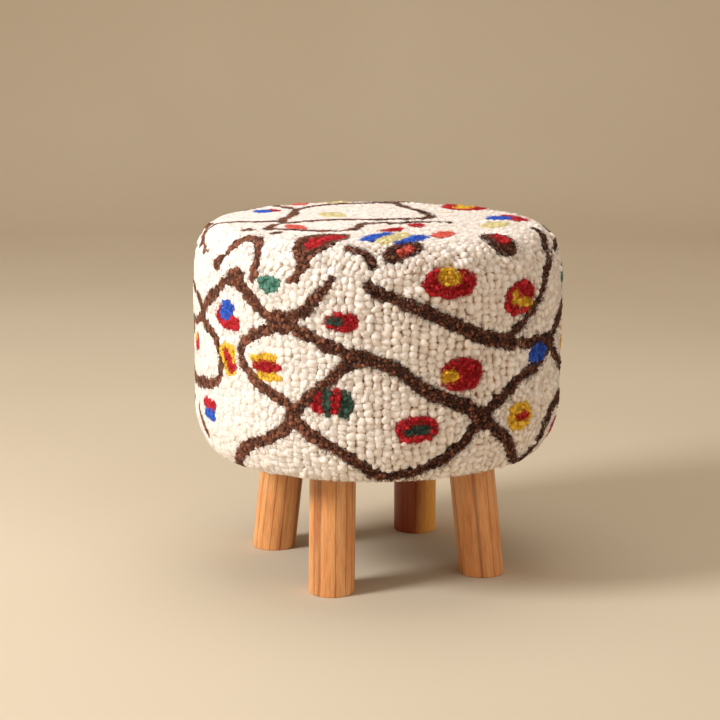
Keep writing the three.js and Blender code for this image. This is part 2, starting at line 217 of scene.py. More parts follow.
def makeStudio():
    # the floor's section runs level, turns up on a quarter circle and ends in the wall
    bend = np.linspace(0, math.pi / 2, 13)
    reach, radius = studio["floorReach"], studio["coveRadius"]
    along = np.concatenate([[-studio["floorBehind"]], reach + radius * np.sin(bend), [reach + radius]])
    height = np.concatenate([[0.0], radius - radius * np.cos(bend), [studio["wallTop"]]])
    azimuth = math.radians(camera["azimuth"])
    ahead = np.array([-math.sin(azimuth), math.cos(azimuth)])
    right = np.array([ahead[1], -ahead[0]])
    across = np.array([-studio["halfWidth"], studio["halfWidth"]])
    flat = along[:, None, None] * ahead + across[None, :, None] * right
    rise = np.broadcast_to(height[:, None, None], flat.shape[:2] + (1,))
    points = np.concatenate([flat, rise], -1).reshape(-1, 3)
    floor = newPiece("studioFloor", points, [gridFaces(len(along), 2, False)[:, ::-1]], paintedPaper())
    for name, lamp in studio["lamps"].items():
        data = bpy.data.lights.new(name + "Light", "AREA")
        data.energy, data.size, data.shape = lamp["power"], lamp["size"], "DISK"
        light = bpy.data.objects.new(name + "Light", data)
        light.location = lamp["place"]
        way = Vector(studio["aim"]) - light.location
        light.rotation_euler = way.to_track_quat("-Z", "Y").to_euler()
        scene.collection.objects.link(light)
    world = bpy.data.worlds.new("studioLight")
    world.use_nodes = True
    background = world.node_tree.nodes["Background"]
    background.inputs["Color"].default_value = linear(studio["sky"])
    background.inputs["Strength"].default_value = studio["skyStrength"]
    scene.world = world


makeStudio()
print("studio lit")


# Teak: heartwood, turned, sanded and oiled. Straight dark growth lines along the leg, fine open
# pores and a low satin gloss.

teak = {
    "rings": [(0, "#e79f5f"), (0.5, "#eea868"), (0.87, "#df9354"), (0.95, "#793b14"), (1, "#cb8047")],
    "streaks": [(0.34, "#bc662e"), (0.5, "#e9a564"), (0.66, "#fecd93")],
    "streakShare": 0.34,
    "heartwood": "#a26a50",  # multiplies the grain where the wood is dark
    "sapwood": "#fab448",
    "ringSpacing": 8.5 * mm,
    "streak": 11 * mm,
    "wander": 0.03,  # how much the growth lines change along the leg, against across it
    "patchLength": 0.13,  # and how much its colour does
    "pore": 0.3 * mm,
    "poreLength": 6 * mm,
    "poreDepth": 0.12 * mm,
}


def oiledTeak():
    material, tree, shader = newMaterial("oiledTeak", Roughness=0.48, Coat_Weight=0.06,
                                         Coat_Roughness=0.35, IOR=1.5)
    grain, tone = (addNode(tree, "ShaderNodeAttribute", attribute_name=name).outputs["Vector"]
                   for name in ("grain", "tone"))
    mood = addNode(tree, "ShaderNodeSeparateXYZ", {0: tone})
    # growth lines, streaks and pores are drawn out along the leg, each by its own amount
    drawn, patch, fine = (
        addNode(tree, "ShaderNodeMapping", {"Vector": grain, "Scale": (1, 1, along)}).outputs[0]
        for along in (teak["wander"], teak["patchLength"], teak["pore"] / teak["poreLength"]))
    rings = addNode(tree, "ShaderNodeTexWave",
                    {"Vector": drawn, "Scale": wavePeriod / teak["ringSpacing"], "Distortion": 3.4,
                     "Detail": 3, "Detail Scale": 0.7, "Detail Roughness": 0.6},
                    wave_type="RINGS", rings_direction="Z", wave_profile="SAW")
    ringTone = addNode(tree, "ShaderNodeValToRGB", {"Fac": rings.outputs["Fac"]}, stops=teak["rings"])
    streak = addNode(tree, "ShaderNodeTexNoise",
                     {"Vector": patch, "Scale": 1 / teak["streak"], "Detail": 5, "Roughness": 0.6})
    streakTone = addNode(tree, "ShaderNodeValToRGB", {"Fac": streak.outputs["Fac"]}, stops=teak["streaks"])
    # a pore is drawn three times as wide as it is, so that it shows
    pores = addNode(tree, "ShaderNodeTexNoise",
                    {"Vector": fine, "Scale": 1 / (3 * teak["pore"]), "Detail": 2})
    poreMask = addNode(tree, "ShaderNodeMapRange",
                       {"Value": pores.outputs["Fac"], 1: 0.38, 2: 0.56, 3: 0.84, 4: 1.04})
    wood = addNode(tree, "ShaderNodeMix", {0: teak["streakShare"], 6: ringTone.outputs["Color"],
                                           7: streakTone.outputs["Color"]}, data_type="RGBA")
    for share, tint, way in ((mood.outputs["X"], teak["heartwood"], "MULTIPLY"),
                             (mood.outputs["Y"], teak["sapwood"], "MIX")):
        wood = addNode(tree, "ShaderNodeMix", {0: share, 6: wood.outputs[2], 7: linear(tint)},
                       data_type="RGBA", blend_type=way)
    grained = addNode(tree, "ShaderNodeVectorMath", {0: wood.outputs[2], 3: poreMask.outputs[0]},
                      operation="SCALE")
    bump = addNode(tree, "ShaderNodeBump",
                   {"Height": poreMask.outputs[0], "Distance": teak["poreDepth"], "Strength": 0.3})
    feed(shader, Base_Color=grained.outputs[0], Normal=bump.outputs[0])
    return material


leg = {
    "radius": 24.6 * mm, "ease": 1.2 * mm,  # the rounded edge of the foot
    "circle": 111.19 * mm,  # from the stool's middle to where a leg's axis meets its plate
    "plate": 142.5 * mm,  # and the height of that point
    "splay": 6.2, "splayTurn": 21,  # degrees of lean, and degrees that it turns from the radius
    "top": -3.98 * mm, "bore": 4.3 * mm, "boreBottom": -39.3 * mm,  # about that point, along the axis
    "aboveEase": 6 * mm, "levelTop": 100 * mm,  # where the level rings of the side start and end
    "sides": 64,
    "sapSlope": 1.3, "sapMiddle": 0.42, "sapShare": 0.8,  # how sapwood takes over across a leg
    # for each leg, how far its axis is from the heart of the tree, how dark it is and how much sapwood
    "wood": {"back_right": ((38, 12), 1.0, 1.0), "back_left": ((-64, 22), 0.0, 0.0),
             "front_left": ((46, -38), 0.0, 0.0), "front_right": ((-30, -55), 0.08, 0.0)},
}


def makeLeg(corner, azimuth, material):
    # Rings round the leg's axis, from the middle of its foot over the rounded edge, up the side to the
    # square top and down the bore. A ring near the foot is cut level with the floor, so it slants.
    radius, ease, lean = leg["radius"], leg["ease"], math.radians(leg["splay"])
    arc = np.linspace(0, math.pi / 2, 6)
    side = np.linspace(ease + leg["aboveEase"], leg["levelTop"], 8)
    reach = np.concatenate([[radius / 2], radius - ease + ease * np.sin(arc),
                            np.full(len(side) + 1, radius), [leg["bore"], leg["bore"]]])
    level = np.concatenate([[0], ease - ease * np.cos(arc), side])
    around = np.linspace(0, fullTurn, leg["sides"], endpoint=False)
    x, y = reach[:, None] * np.cos(around), reach[:, None] * np.sin(around)
    slanted = (level[:, None] - leg["plate"] - x[:len(level)] * math.sin(lean)) / math.cos(lean)
    square = np.array([leg["top"], leg["top"], leg["boreBottom"]])[:, None] + 0 * around
    rings = np.stack([x, y, np.concatenate([slanted, square])], -1).reshape(-1, 3)
    local = np.concatenate([rings, [[0, 0, -leg["plate"] / math.cos(lean)], [0, 0, leg["boreBottom"]]]])
    place = (Matrix.Rotation(azimuth, 4, "Z") @ Matrix.Translation((leg["circle"], 0, leg["plate"]))
             @ Matrix.Rotation(math.radians(leg["splayTurn"]), 4, "Z") @ Matrix.Rotation(-lean, 4, "Y"))
    place = np.array(place)
    points = local @ place[:3, :3].T + place[:3, 3]
    heart, dark, sap = leg["wood"][corner]
    grain = local + np.array([heart[0] * mm, heart[1] * mm, azimuth])
    # the sapwood is on the side that shows
    outward = (points[:, 0] - points[:, 0].mean()) * math.cos(math.radians(camera["azimuth"]))
    share = np.clip(outward / radius * leg["sapSlope"] + leg["sapMiddle"], 0, 1)
    pale = sap * share * leg["sapShare"]
    tone = np.stack([dark * (1 - pale), pale, 0 * pale], -1)
    piece = newPiece("leg" + corner.title().replace("_", ""), points, cappedFaces(len(reach), leg["sides"]),
                     material, attributes={"grain": grain, "tone": tone})
    piece.data.set_sharp_from_angle(angle=math.radians(40))
    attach(piece, "root")
    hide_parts("leg_" + corner)


teakMaterial = oiledTeak()
for i, corner in enumerate(leg["wood"]):
    makeLeg(corner, math.radians(45 + 90 * i), teakMaterial)
print("legs turned")


# The cover's outline, in metres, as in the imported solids

cover = {
    "topEdgeRun": 39 * mm, "topEdgeRise": 57 * mm, "topEdgePower": 2.45,
    "bottomEdgeRun": 22 * mm, "bottomEdgeRise": 50 * mm, "bottomEdgePower": 1.55,
    "crown": 3 * mm,
    "thickness": 8 * mm,  # backing and loops
    "backing": 2 * mm, "backingFloor": 0.15 * mm,  # cloth, and its gap to what is under it
    "turnUnder": 20 * mm,  # backing tacked under the base board
    "outlineUnder": 30 * mm,  # as far under the seat as the outline is worked out
    "seam": 229.5 * mm,  # along the outline, from the lowest wool
    "edgeSteps": 400, "crownSteps": 60,
    "evenStep": 0.5 * mm,  # between the outline's points
}
bandLow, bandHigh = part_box("side_band")
seatRadius, seatFoot = bandHigh.x, bandLow.z
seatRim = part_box("top_panel")[1].z - cover["crown"]


def coverOutline():
    # Two superellipse quarters joined by the side, then the crown: radius and height against
    # the length along the outline, which is 0 at the lowest wool and negative under the seat.
    turn = np.linspace(0, math.pi / 2, cover["edgeSteps"])
    roll, edge = 2 / cover["bottomEdgePower"], 2 / cover["topEdgePower"]
    foot, flat = seatRadius - cover["bottomEdgeRun"], seatRadius - cover["topEdgeRun"]
    share = np.linspace(1, 0, cover["crownSteps"])
    radius = np.concatenate([
        [foot - cover["outlineUnder"]],
        foot + cover["bottomEdgeRun"] * np.sin(turn) ** roll,
        flat + cover["topEdgeRun"] * np.cos(turn) ** edge,
        flat * share[1:],
    ])
    height = np.concatenate([
        [seatFoot],
        seatFoot + cover["bottomEdgeRise"] * (1 - np.cos(turn) ** roll),
        seatRim - cover["topEdgeRise"] + cover["topEdgeRise"] * np.sin(turn) ** edge,
        seatRim + cover["crown"] * (1 - share[1:] ** 2),
    ])
    length = np.concatenate([[0], np.cumsum(np.hypot(np.diff(radius), np.diff(height)))])
    length -= length[1]
    even = np.arange(length[0], length[-1], cover["evenStep"])
    radius, height = np.interp(even, length, radius), np.interp(even, length, height)
    slopeR, slopeZ = np.gradient(radius), np.gradient(height)
    steep = np.hypot(slopeR, slopeZ)
    return even, radius, height, slopeZ / steep, -slopeR / steep


outline = coverOutline()
outlineEnd = outline[0][-1]


def onCover(length, angle, raised):
    # the point at a length along the outline and an angle round it, raised along the normal
    radius, height, normalR, normalZ = (np.interp(length, outline[0], column) for column in outline[1:])
    radius = radius + raised * normalR
    return np.stack([radius * np.cos(angle), radius * np.sin(angle), height + raised * normalZ], -1)


# Pattern, read off the cover: degrees round the seat and millimetres up the outline for the
# side band, millimetres from the middle for the top panel

patternTurn = 2.5  # degrees, from the pattern's zero to the frame's
yarns = ["cream", "brown", "red", "coral", "yellow", "straw", "blue", "green", "fir"]

sideLines = [  # (half width, points)
    (5.2, [(-166.8, 200), (-172.3, 187), (-176.3, 177.5), (-179.8, 165), (-178.8, 153.8),
           (-173.3, 147.5), (-169.8, 137.5), (-167.3, 125), (-167.8, 110), (-169.3, 97.5), (-173.3, 91),
           (-180.3, 88), (-186, 85), (-196, 84)]),
    (4.6, [(-160.3, 210), (-166.8, 200)]),
    (4.4, [(-179.8, 165), (-183.8, 176), (-191, 183), (-200, 196)]),
    (3.4, [(-138.3, 217.5), (-137, 224), (-135.8, 234)]),
    (1.7, [(-140.2, 214.5), (-137.6, 214.5)]),
    (4.6, [(-152.2, 213), (-152, 234)]),
    (4.6, [(-169.8, 218), (-167.5, 234)]),
    (4.6, [(-179.8, 160), (-186, 152), (-194, 148)]),
    (5.2, [(-160.3, 208), (-156.3, 201), (-152.3, 188.8), (-147.8, 178.8), (-142.8, 171)]),
    (5.4, [(-142.8, 171), (-136.8, 180), (-133, 190), (-130.2, 201)]),
    (4.2, [(-130.2, 201), (-127.8, 211)]),
    (2.6, [(-127.8, 211), (-126, 219)]),
    (5.4, [(-142.8, 171), (-147.3, 161), (-153.3, 152.5), (-156.6, 142.5), (-157.3, 130),
           (-155.3, 117.5), (-150.3, 105), (-144.3, 95), (-139.3, 85), (-138.6, 73)]),
    (5.6, [(-142.8, 171), (-135.3, 162.5), (-129.3, 152.5), (-122.3, 145), (-116.8, 139.5)]),
    (5.3, [(-116.8, 139.5), (-122.3, 130), (-127.3, 115), (-132.3, 100), (-136, 87.5), (-138.6, 73)]),
    (5.6, [(-138.6, 73), (-141.3, 60), (-147.3, 47.5), (-154.3, 37.5), (-159.3, 25), (-163.3, 12.5),
           (-167, -8)]),
    (5.9, [(-138.6, 73), (-133.3, 60), (-127.3, 47.5), (-121.3, 35), (-116.3, 22.5), (-112.3, 13)]),
    (6.3, [(-116.8, 139.5), (-107.3, 127.5), (-101.3, 111), (-93.3, 96), (-85.5, 86), (-80.2, 71)]),
    (6.2, [(-113.3, 206), (-107.3, 197.5), (-98.3, 183.8), (-91.3, 173.5), (-83.3, 159), (-73.3, 149),
           (-63.3, 142.5), (-53.3, 139), (-48.6, 136)]),
    (5.6, [(-115.5, 213), (-113.3, 206)]),
    (5.2, [(-70.5, 152), (-63.3, 167.5), (-57.3, 182.5), (-53.3, 197.5), (-50.3, 214), (-44.3, 227.5),
           (-40, 236)]),
    (5.4, [(-48.6, 136), (-45, 141), (-41.3, 150), (-34, 158), (-26, 166)]),
    (5.2, [(-48.6, 136), (-43.3, 122.5), (-36.3, 106), (-28, 97), (-19, 90)]),
    (5.6, [(-80.2, 71), (-76.3, 84), (-70.3, 97.5), (-66.3, 106), (-59.3, 113.5), (-53.3, 122.5),
           (-48.6, 135)]),
    (5.6, [(-80.2, 71), (-84.3, 57.5), (-88.3, 42.5), (-93.3, 29), (-100.3, 18), (-106.8, 12.5),
           (-113.3, 12.5)]),
    (5.5, [(-80.2, 71), (-75.3, 57.5), (-70.3, 42.5), (-66.3, 25), (-62.3, 12), (-57.3, 6), (-52.3, 16),
           (-49.3, 30), (-48.6, 45), (-44.3, 57.5), (-37.3, 65), (-28.3, 61), (-21, 48), (-14, 30),
           (-8, 8)]),
    (3.6, [(-185.3, 57), (-182.3, 43), (-180.3, 31)]),
    (4.6, [(-196, 60), (-203, 40), (-207, 18), (-208, -8)]),
    # round the back, where the lattice goes on
    (5.4, [(-26, 166), (-17, 178), (-9, 192), (-5, 210), (-3, 232)]),
    (5.6, [(-26, 166), (-18, 155), (-12, 143), (-9, 128), (-11, 112), (-19, 90)]),
    (5.6, [(-19, 90), (-10, 82), (-3, 70), (2, 54)]),
    (5.5, [(-9, 128), (1, 132), (10, 141), (17, 154), (22, 170)]),
    (5.6, [(2, 54), (10, 66), (20, 76), (31, 82), (40, 92), (45, 106)]),
    (5.6, [(22, 170), (30, 158), (37, 146), (43, 130), (45, 106)]),
    (5.3, [(22, 170), (15, 184), (9, 200), (5, 218), (4, 232)]),
    (5.4, [(22, 170), (31, 180), (39, 194), (44, 212), (46, 232)]),
    (5.6, [(2, 54), (-2, 38), (-3, 20), (0, -8)]),
    (5.8, [(45, 106), (54, 98), (62, 86), (69, 72), (74, 58)]),
    (5.8, [(45, 106), (53, 118), (61, 132), (68, 148), (76, 160)]),
    (5.5, [(2, 54), (12, 44), (23, 30), (34, 14), (44, 6), (54, 16), (62, 36), (74, 58)]),
    (5.6, [(76, 160), (70, 174), (62, 190), (57, 210), (55, 232)]),
    (5.9, [(76, 160), (86, 150), (96, 138), (102, 122), (104, 104)]),
    (5.4, [(74, 58), (83, 68), (92, 78), (99, 90), (104, 104)]),
    (5.4, [(76, 160), (84, 174), (93, 186), (103, 194), (113, 204), (121, 220), (124, 232)]),
    (5.5, [(74, 58), (80, 40), (84, 22), (86, -8)]),
    (5.6, [(104, 104), (114, 96), (124, 84), (131, 68)]),
    (5.6, [(104, 104), (112, 118), (120, 134), (126, 150), (134, 164)]),
    (5.2, [(131, 68), (124, 50), (115, 34), (107, 16), (104, -8)]),
    (5.5, [(131, 68), (141, 76), (151, 84), (158, 96), (164, 84)]),
    (5.2, [(134, 164), (128, 178), (122, 190), (113, 204)]),
    (5.4, [(134, 164), (144, 154), (152, 140), (156, 120), (158, 96)]),
    (5.2, [(134, 164), (145, 174), (154, 186), (160, 196)]),
    (5.3, [(131, 68), (137, 48), (141, 28), (145, 10), (152, -8)]),
]
# places where lines meet and thicken
sideBlobs = [
    (-160.3, 210, 14, 9, 10), (-143, 171, 14, 12, 0), (-80.2, 71, 13, 13, 0), (-138.7, 74, 9, 12, 0),
    (-48.6, 136, 11, 11, 0), (-116.8, 139.5, 9, 8, 0), (-113, 12, 11, 7, 0), (45, 106, 9, 10, 0),
    (104, 104, 10, 10, 0), (76, 160, 10, 9, 0), (22, 170, 9, 9, 0), (131, 68, 9, 9, 0),
]

sideSpots = [  # (degrees, height, [(yarn, across, up, half width, half height, tilt), ...])
    (-163.9, 171, [("red", 0, -7, 20, 9, -8), ("red", -10, 2, 6, 8, 10), ("blue", 0, 4, 11, 10.5, 0),
                   ("blue", -3, 0, 9, 8, 0)]),
    (-146.2, 208, [("green", 0, 0, 13, 8.5, 0)]),
    (-163.3, 122.5, [("yellow", -3, 8, 14, 9, 0), ("yellow", 0, 0, 10, 14, 0),
                     ("yellow", 4, -10, 9, 6, 0), ("red", -4, 6, 5, 7, 12), ("red", 2, -3, 5.5, 10, 14),
                     ("red", 7, -7, 6, 5, 0)]),
    (-147.8, 123.5, [("yellow", -2, 8, 17, 5.5, 6), ("yellow", 3, -9, 16, 5.5, 0),
                     ("red", 0, 0, 18, 6.5, 4)]),
    (-123.8, 175.5, [("red", 0, 0, 17.5, 9, 0), ("fir", -6, 0.5, 9, 4.4, 0)]),
    (-126, 93, [("red", -15, -1, 7, 13, -12), ("fir", -6, 0, 6.5, 14, 4), ("fir", 12, -1, 8.5, 14, 0),
                ("red", 3, 2, 4.8, 13, -10)]),
    (-101.3, 66, [("red", 0, 0, 22.5, 13.5, 4), ("fir", 1, -1, 15, 5.6, 8)]),
    (-88.3, 120, [("red", 2, 0, 24, 17, 0), ("yellow", -13, -1, 10.5, 5.6, 0),
                  ("cream", -26, 13, 5, 7, 0)]),
    (-65, 66, [("yellow", 0, 0, 19, 14.5, 0), ("red", 4, 0, 11.5, 4.6, 0)]),
    (-65.8, 191, [("red", 0, 0, 24, 17, 12), ("yellow", -9, 2, 5, 8, -10),
                  ("yellow", 6, -5, 16, 5.2, -10)]),
    (-91.6, 214, [("red", 0, 0, 29, 16, 0), ("yellow", -1, 7, 14, 9.5, 0)]),
    (-56.6, 128.5, [("blue", 0, 0, 17, 10, 0)]),
    (-175.6, 62, [("red", 0, 5, 17.5, 6, 0), ("blue", 1, -5, 13, 6, 0)]),
    (-187.5, 128, [("red", 0, 0, 11, 9, 0), ("yellow", -2, 5, 8, 4, 0)]),
    # round the back
    (-26, 128, [("yellow", 0, 0, 17, 13, 0), ("red", 0, 1, 10, 6, 0)]),
    (-33, 30, [("red", 0, 0, 16, 11, 0), ("blue", 1, 2, 9, 5.5, 0)]),
    (-30, 198, [("green", 0, 0, 15, 9, 0)]),
    (-6, 160, [("red", 0, 0, 20, 12, 0), ("yellow", 3, 0, 12, 5, 0)]),
    (-1, 100, [("blue", -3, 2, 13, 9, 0), ("red", 5, -6, 12, 7, 0)]),
    (23, 125, [("red", 0, 0, 22, 15, 0), ("green", 0, 0, 12, 5.5, 0)]),
    (22, 54, [("yellow", 0, 0, 17, 11, 0), ("red", 0, 0, 11, 4.8, 0)]),
    (26, 212, [("yellow", 0, 0, 18, 9, 0), ("red", -2, 2, 9, 5, 0)]),
    (50, 60, [("red", 0, 0, 20, 12, 0), ("yellow", -6, 0, 9, 5, 0)]),
    (60, 172, [("blue", 0, 0, 12, 11, 0), ("red", 0, -9, 13, 6, 0)]),
    (76, 110, [("red", -9, 0, 7, 14, 0), ("green", 4, 0, 7, 13, 0), ("red", 13, 0, 5, 12, 0)]),
    (97, 42, [("yellow", 0, 0, 14, 12, 0), ("red", 1, 0, 6, 8, 0)]),
    (100, 165, [("red", 0, 0, 20, 11, 0), ("green", 2, 0, 10, 4.6, 0)]),
    (118, 60, [("blue", 0, 0, 12, 9, 0)]),
    (90, 212, [("green", 0, 0, 13, 8, 0)]),
    (128, 112, [("red", 0, 0, 22, 14, 0), ("yellow", 2, 2, 12, 6, 0)]),
    (141, 205, [("red", 0, 0, 17, 10, 0), ("blue", 0, 2, 8, 5, 0)]),
    (150, 50, [("yellow", 0, 6, 15, 6, 0), ("red", 0, 0, 15, 5, 0), ("yellow", 0, -8, 13, 5, 0)]),
    (164, 140, [("green", 0, 0, 12, 11, 0), ("red", 0, 0, 5, 8, 0)]),
]

topLines = [
    (4.2, [(-194, 30), (-187, 37), (-150, 38), (-130, 31), (-105, 22)]),
    (4.2, [(-105, 22), (-107, 5), (-120, -3), (-133, -20), (-138, -35)]),
    (4.2, [(-107, 5), (-98, 30), (-80, 55), (-63, 85), (-50, 114), (-34, 126), (-20, 136), (-6, 145),
           (12, 148), (28, 146), (44, 143), (63, 141), (82, 137)]),
    (4.2, [(-50, 114), (-55, 134), (-60, 156), (-66, 176)]),
    (4.2, [(-113, 1), (-85, 5), (-60, 4), (-44, 2), (-20, -8), (0, -14), (44, -20)]),
    (4.0, [(44, -20), (60, -7), (67, 20), (70, 50), (70, 80), (75, 110), (82, 135), (92, 155),
           (110, 153), (132, 142)]),
    (4.4, [(-137, -28), (-125, -38), (-100, -58), (-76, -72), (-62, -72), (-47, -58), (-37, -40),
           (-20, -36)]),
    (4.2, [(-20, -36), (0, -43), (30, -46), (60, -55)]),
    (4.6, [(-95, -152), (-89, -160), (-82, -170), (-77, -181)]),
]
topArches = [  # degrees round the seat and millimetres up the outline, on the shoulder
    (5.0, [(-167.3, 228), (-165.6, 240), (-163, 252), (-159, 258), (-155, 251), (-152.8, 239),
           (-152.2, 228)]),
    (3.4, [(-179.3, 226), (-184, 230), (-190.3, 238), (-197, 248)]),
    (4.8, [(-47.3, 228), (-44.5, 238), (-40.5, 250), (-38, 262)]),
    (4.6, [(-34, 230), (-26, 240), (-16, 243), (-8, 236)]),
    (5.0, [(38, 230), (45, 246), (54, 258), (64, 262), (74, 252), (78, 238), (79, 228)]),
    (4.6, [(104, 229), (110, 246), (120, 258), (131, 262)]),
    (4.6, [(148, 229), (152, 244), (160, 250)]),
]
shoulderShapes = [  # outlines in the same degrees and millimetres
    ("brown", [(-140.8, 251), (-139.8, 243), (-137.6, 232), (-139.2, 220), (-137.2, 219), (-134.2, 230),
               (-133.2, 240), (-131, 247), (-128, 257), (-125.6, 281), (-125, 298), (-126.8, 311),
               (-136, 309), (-144, 295), (-142.2, 272)]),
    ("red", [(-137.5, 254), (-135.2, 246), (-133, 253), (-130.5, 263), (-127.8, 275), (-126.6, 292),
             (-128.4, 304), (-133, 303), (-136.4, 288), (-137.8, 270)]),
    ("brown", [(-69.5, 281), (-64.2, 286), (-62, 274), (-61.5, 264), (-62.3, 252), (-63.8, 242),
               (-65.5, 237), (-69, 237), (-72.8, 241), (-74, 249), (-73.4, 260), (-72.4, 272)]),
    ("red", [(-68.2, 271), (-63, 275), (-62.6, 262), (-64.2, 252), (-67.2, 250), (-70, 253)]),
    ("brown", [(-111.4, 247), (-110.2, 258), (-105.8, 266), (-101, 270), (-98.6, 260), (-99.6, 249),
               (-102.5, 243), (-105, 239), (-108.7, 236), (-111, 238)]),
    ("coral", [(-107.2, 248), (-104.8, 256), (-102, 259), (-101, 251), (-104, 245), (-106.4, 242)]),
]
topSpots = [
    (-157, -25, [("brown", 0, 0, 8, 7, 40)]),
    (-138, -58, [("brown", 0, 0, 5.5, 9, -30)]),
    (-106, -29, [("coral", 0, 0, 9, 17, 10)]),
    (-35, 45, [("straw", 0, 0, 14, 21, 0)]),
    (-87, 113, [("red", 9, 2, 8, 14, -10), ("blue", -4, 0, 10, 16, -15)]),
    (139, 74, [("red", 0, 0, 24, 36, -28), ("yellow", 3, 4, 11, 28, -35)]),
    (137, -36, [("red", 10, 6, 12, 22, -15), ("red", 13, -8, 9, 17, -25), ("blue", -6, 1, 20, 12, 40)]),
    (101, -82, [("straw", 0, 0, 25, 12, 45)]),
    (16, -67, [("red", 0, 0, 9, 13, -15)]),
    (-22, -88, [("red", 0, 0, 15, 8, 35)]),
    (18, -130, [("coral", 0, 0, 10, 19, -42)]),
    (-38, -134, [("blue", -14, 10, 27, 13, 40), ("blue", 12, -10, 27, 12, 35),
                 ("straw", -1, 1, 31, 12, 42)]),
    (-27, 165, [("coral", 0, 0, 11, 8, 0)]),
    (18, 166, [("straw", 0, 0, 15, 8, 0)]),
]


hooking = {  # in millimetres; a wave is its length and how far it reaches
    "edgeWaves": [(4, 1.4), (9, 1.2), (19, 0.8)],  # how a hooked line strays from where it was drawn
    "clumpWaves": [(11, 1.0), (23, 1.2)],  # how the pile rises and sinks
    "shapeEdge": 0.5,  # how much of that straying a filled shape has
    "lineMargin": 4, "shapeMargin": 20,  # how far out from a line its distance is worked out
    "squareness": 2.3,  # of a spot, where 2 is a true ellipse
    "sideWider": 0.3, "topWider": 0.2, "shoulderWider": 0.4,  # lines are hooked this much wider, each way
}


class Chart:
    # a flat map of the cover in 1 mm cells, with the yarn that each cell is hooked in
    def __init__(self, columns, rows, wraps, seed):
        self.shape, self.wraps = (rows, columns), wraps
        self.random = np.random.default_rng(seed)
        self.y, self.x = np.mgrid[0:rows, 0:columns] + 0.5
        self.yarn = np.zeros(self.shape, int)
        self.edge = sum(self.smoothNoise(*wave) for wave in hooking["edgeWaves"])
        self.clumps = sum(self.smoothNoise(*wave) for wave in hooking["clumpWaves"])

    def smoothNoise(self, spacing, reach):
        # random values on a coarse lattice, blended between its points with smooth weights
        rows, columns = self.shape
        coarse = self.random.uniform(-reach, reach, (rows // spacing + 2, columns // spacing))
        py, px = self.y / spacing, self.x / spacing
        iy, ix = py.astype(int), px.astype(int)
        fy, fx = (f * f * (3 - 2 * f) for f in (py - iy, px - ix))
        ix, jx = ix % coarse.shape[1], (ix + 1) % coarse.shape[1]
        low = coarse[iy, ix] * (1 - fx) + coarse[iy, jx] * fx
        high = coarse[iy + 1, ix] * (1 - fx) + coarse[iy + 1, jx] * fx
        return low * (1 - fy) + high * fy

    def across(self, x):
        # the way from a place to each cell, the short way round where the chart wraps
        gap = self.x - x
        return gap - self.shape[1] * np.round(gap / self.shape[1]) if self.wraps else gap

    def nearLine(self, start, end, reach):
        # the rows of the chart near a straight line, and how far their cells are from it
        low, high = min(start[1], end[1]) - reach, max(start[1], end[1]) + reach
        rows = slice(max(0, int(low)), max(0, int(high)))
        way = end - start
        gapX, gapY = self.across(start[0])[rows], self.y[rows] - start[1]
        share = np.clip((gapX * way[0] + gapY * way[1]) / max(way @ way, 1e-9), 0, 1)
        return rows, np.hypot(gapX - share * way[0], gapY - share * way[1])

    def paintLine(self, points, halfWidth):
        # a Catmull-Rom curve through the points, as short straight pieces with a width
        points = np.array(points, float)
        ends = np.concatenate([[2 * points[0] - points[1]], points, [2 * points[-1] - points[-2]]])
        t = np.linspace(0, 1, 5, endpoint=False)[:, None]
        a, b, c, d = ends[:-3, None], ends[1:-2, None], ends[2:-1, None], ends[3:, None]
        curve = 0.5 * (2 * b + (c - a) * t + (2 * a - 5 * b + 4 * c - d) * t ** 2
                       + (3 * b - a - 3 * c + d) * t ** 3)
        curve = np.concatenate([curve.reshape(-1, 2), points[-1:]])
        for start, end in zip(curve[:-1], curve[1:]):
            rows, distance = self.nearLine(start, end, halfWidth + hooking["lineMargin"])
            self.yarn[rows][distance + self.edge[rows] < halfWidth] = yarns.index("brown")

    def paintShape(self, points, yarn):
        # a closed outline: a cell is inside where a level line from it crosses the outline an odd
        # number of times, and the distance to the outline gives it a hand-cut edge
        points, margin = np.array(points, float), hooking["shapeMargin"]
        inside, distance = np.zeros(self.shape, bool), np.full(self.shape, float(margin))
        for start, end in zip(points, np.roll(points, -1, 0)):
            over = (start[1] > self.y) != (end[1] > self.y)
            slope = (end[0] - start[0]) / (end[1] - start[1] + 1e-9)
            inside ^= over & (self.across(start[0]) < (self.y - start[1]) * slope)
            rows, near = self.nearLine(start, end, margin)
            distance[rows] = np.minimum(distance[rows], near)
        inside = np.where(inside, -distance, distance) + self.edge * hooking["shapeEdge"] < 0
        self.yarn[inside] = yarns.index(yarn)

    def paintPatch(self, x, y, halfWidth, halfHeight, tilt, yarn):
        # an ellipse a little squarer than true, with a hand-cut edge
        turn, power = math.radians(tilt), hooking["squareness"]
        gapX, gapY = self.across(x), self.y - y
        along = gapX * math.cos(turn) + gapY * math.sin(turn)
        up = gapY * math.cos(turn) - gapX * math.sin(turn)
        reach = (np.abs(along / halfWidth) ** power + np.abs(up / halfHeight) ** power) ** (1 / power)
        inside = (reach - 1) * min(halfWidth, halfHeight) + self.edge * hooking["shapeEdge"] < 0
        self.yarn[inside] = yarns.index(yarn)


sideRows = 8  # millimetres of loops under the seat, before the outline's zero
topReach = math.ceil((outlineEnd - cover["seam"]) / mm)
sideSeed, topSeed = 11, 12
sideChart = Chart(round(fullTurn * seatRadius / mm), round(cover["seam"] / mm) + sideRows, True, sideSeed)
topChart = Chart(2 * topReach, 2 * topReach, False, topSeed)


def sidePlace(angle, height):  # in degrees and millimetres up the outline
    return ((angle + patternTurn) / 360 * sideChart.shape[1]) % sideChart.shape[1], height + sideRows


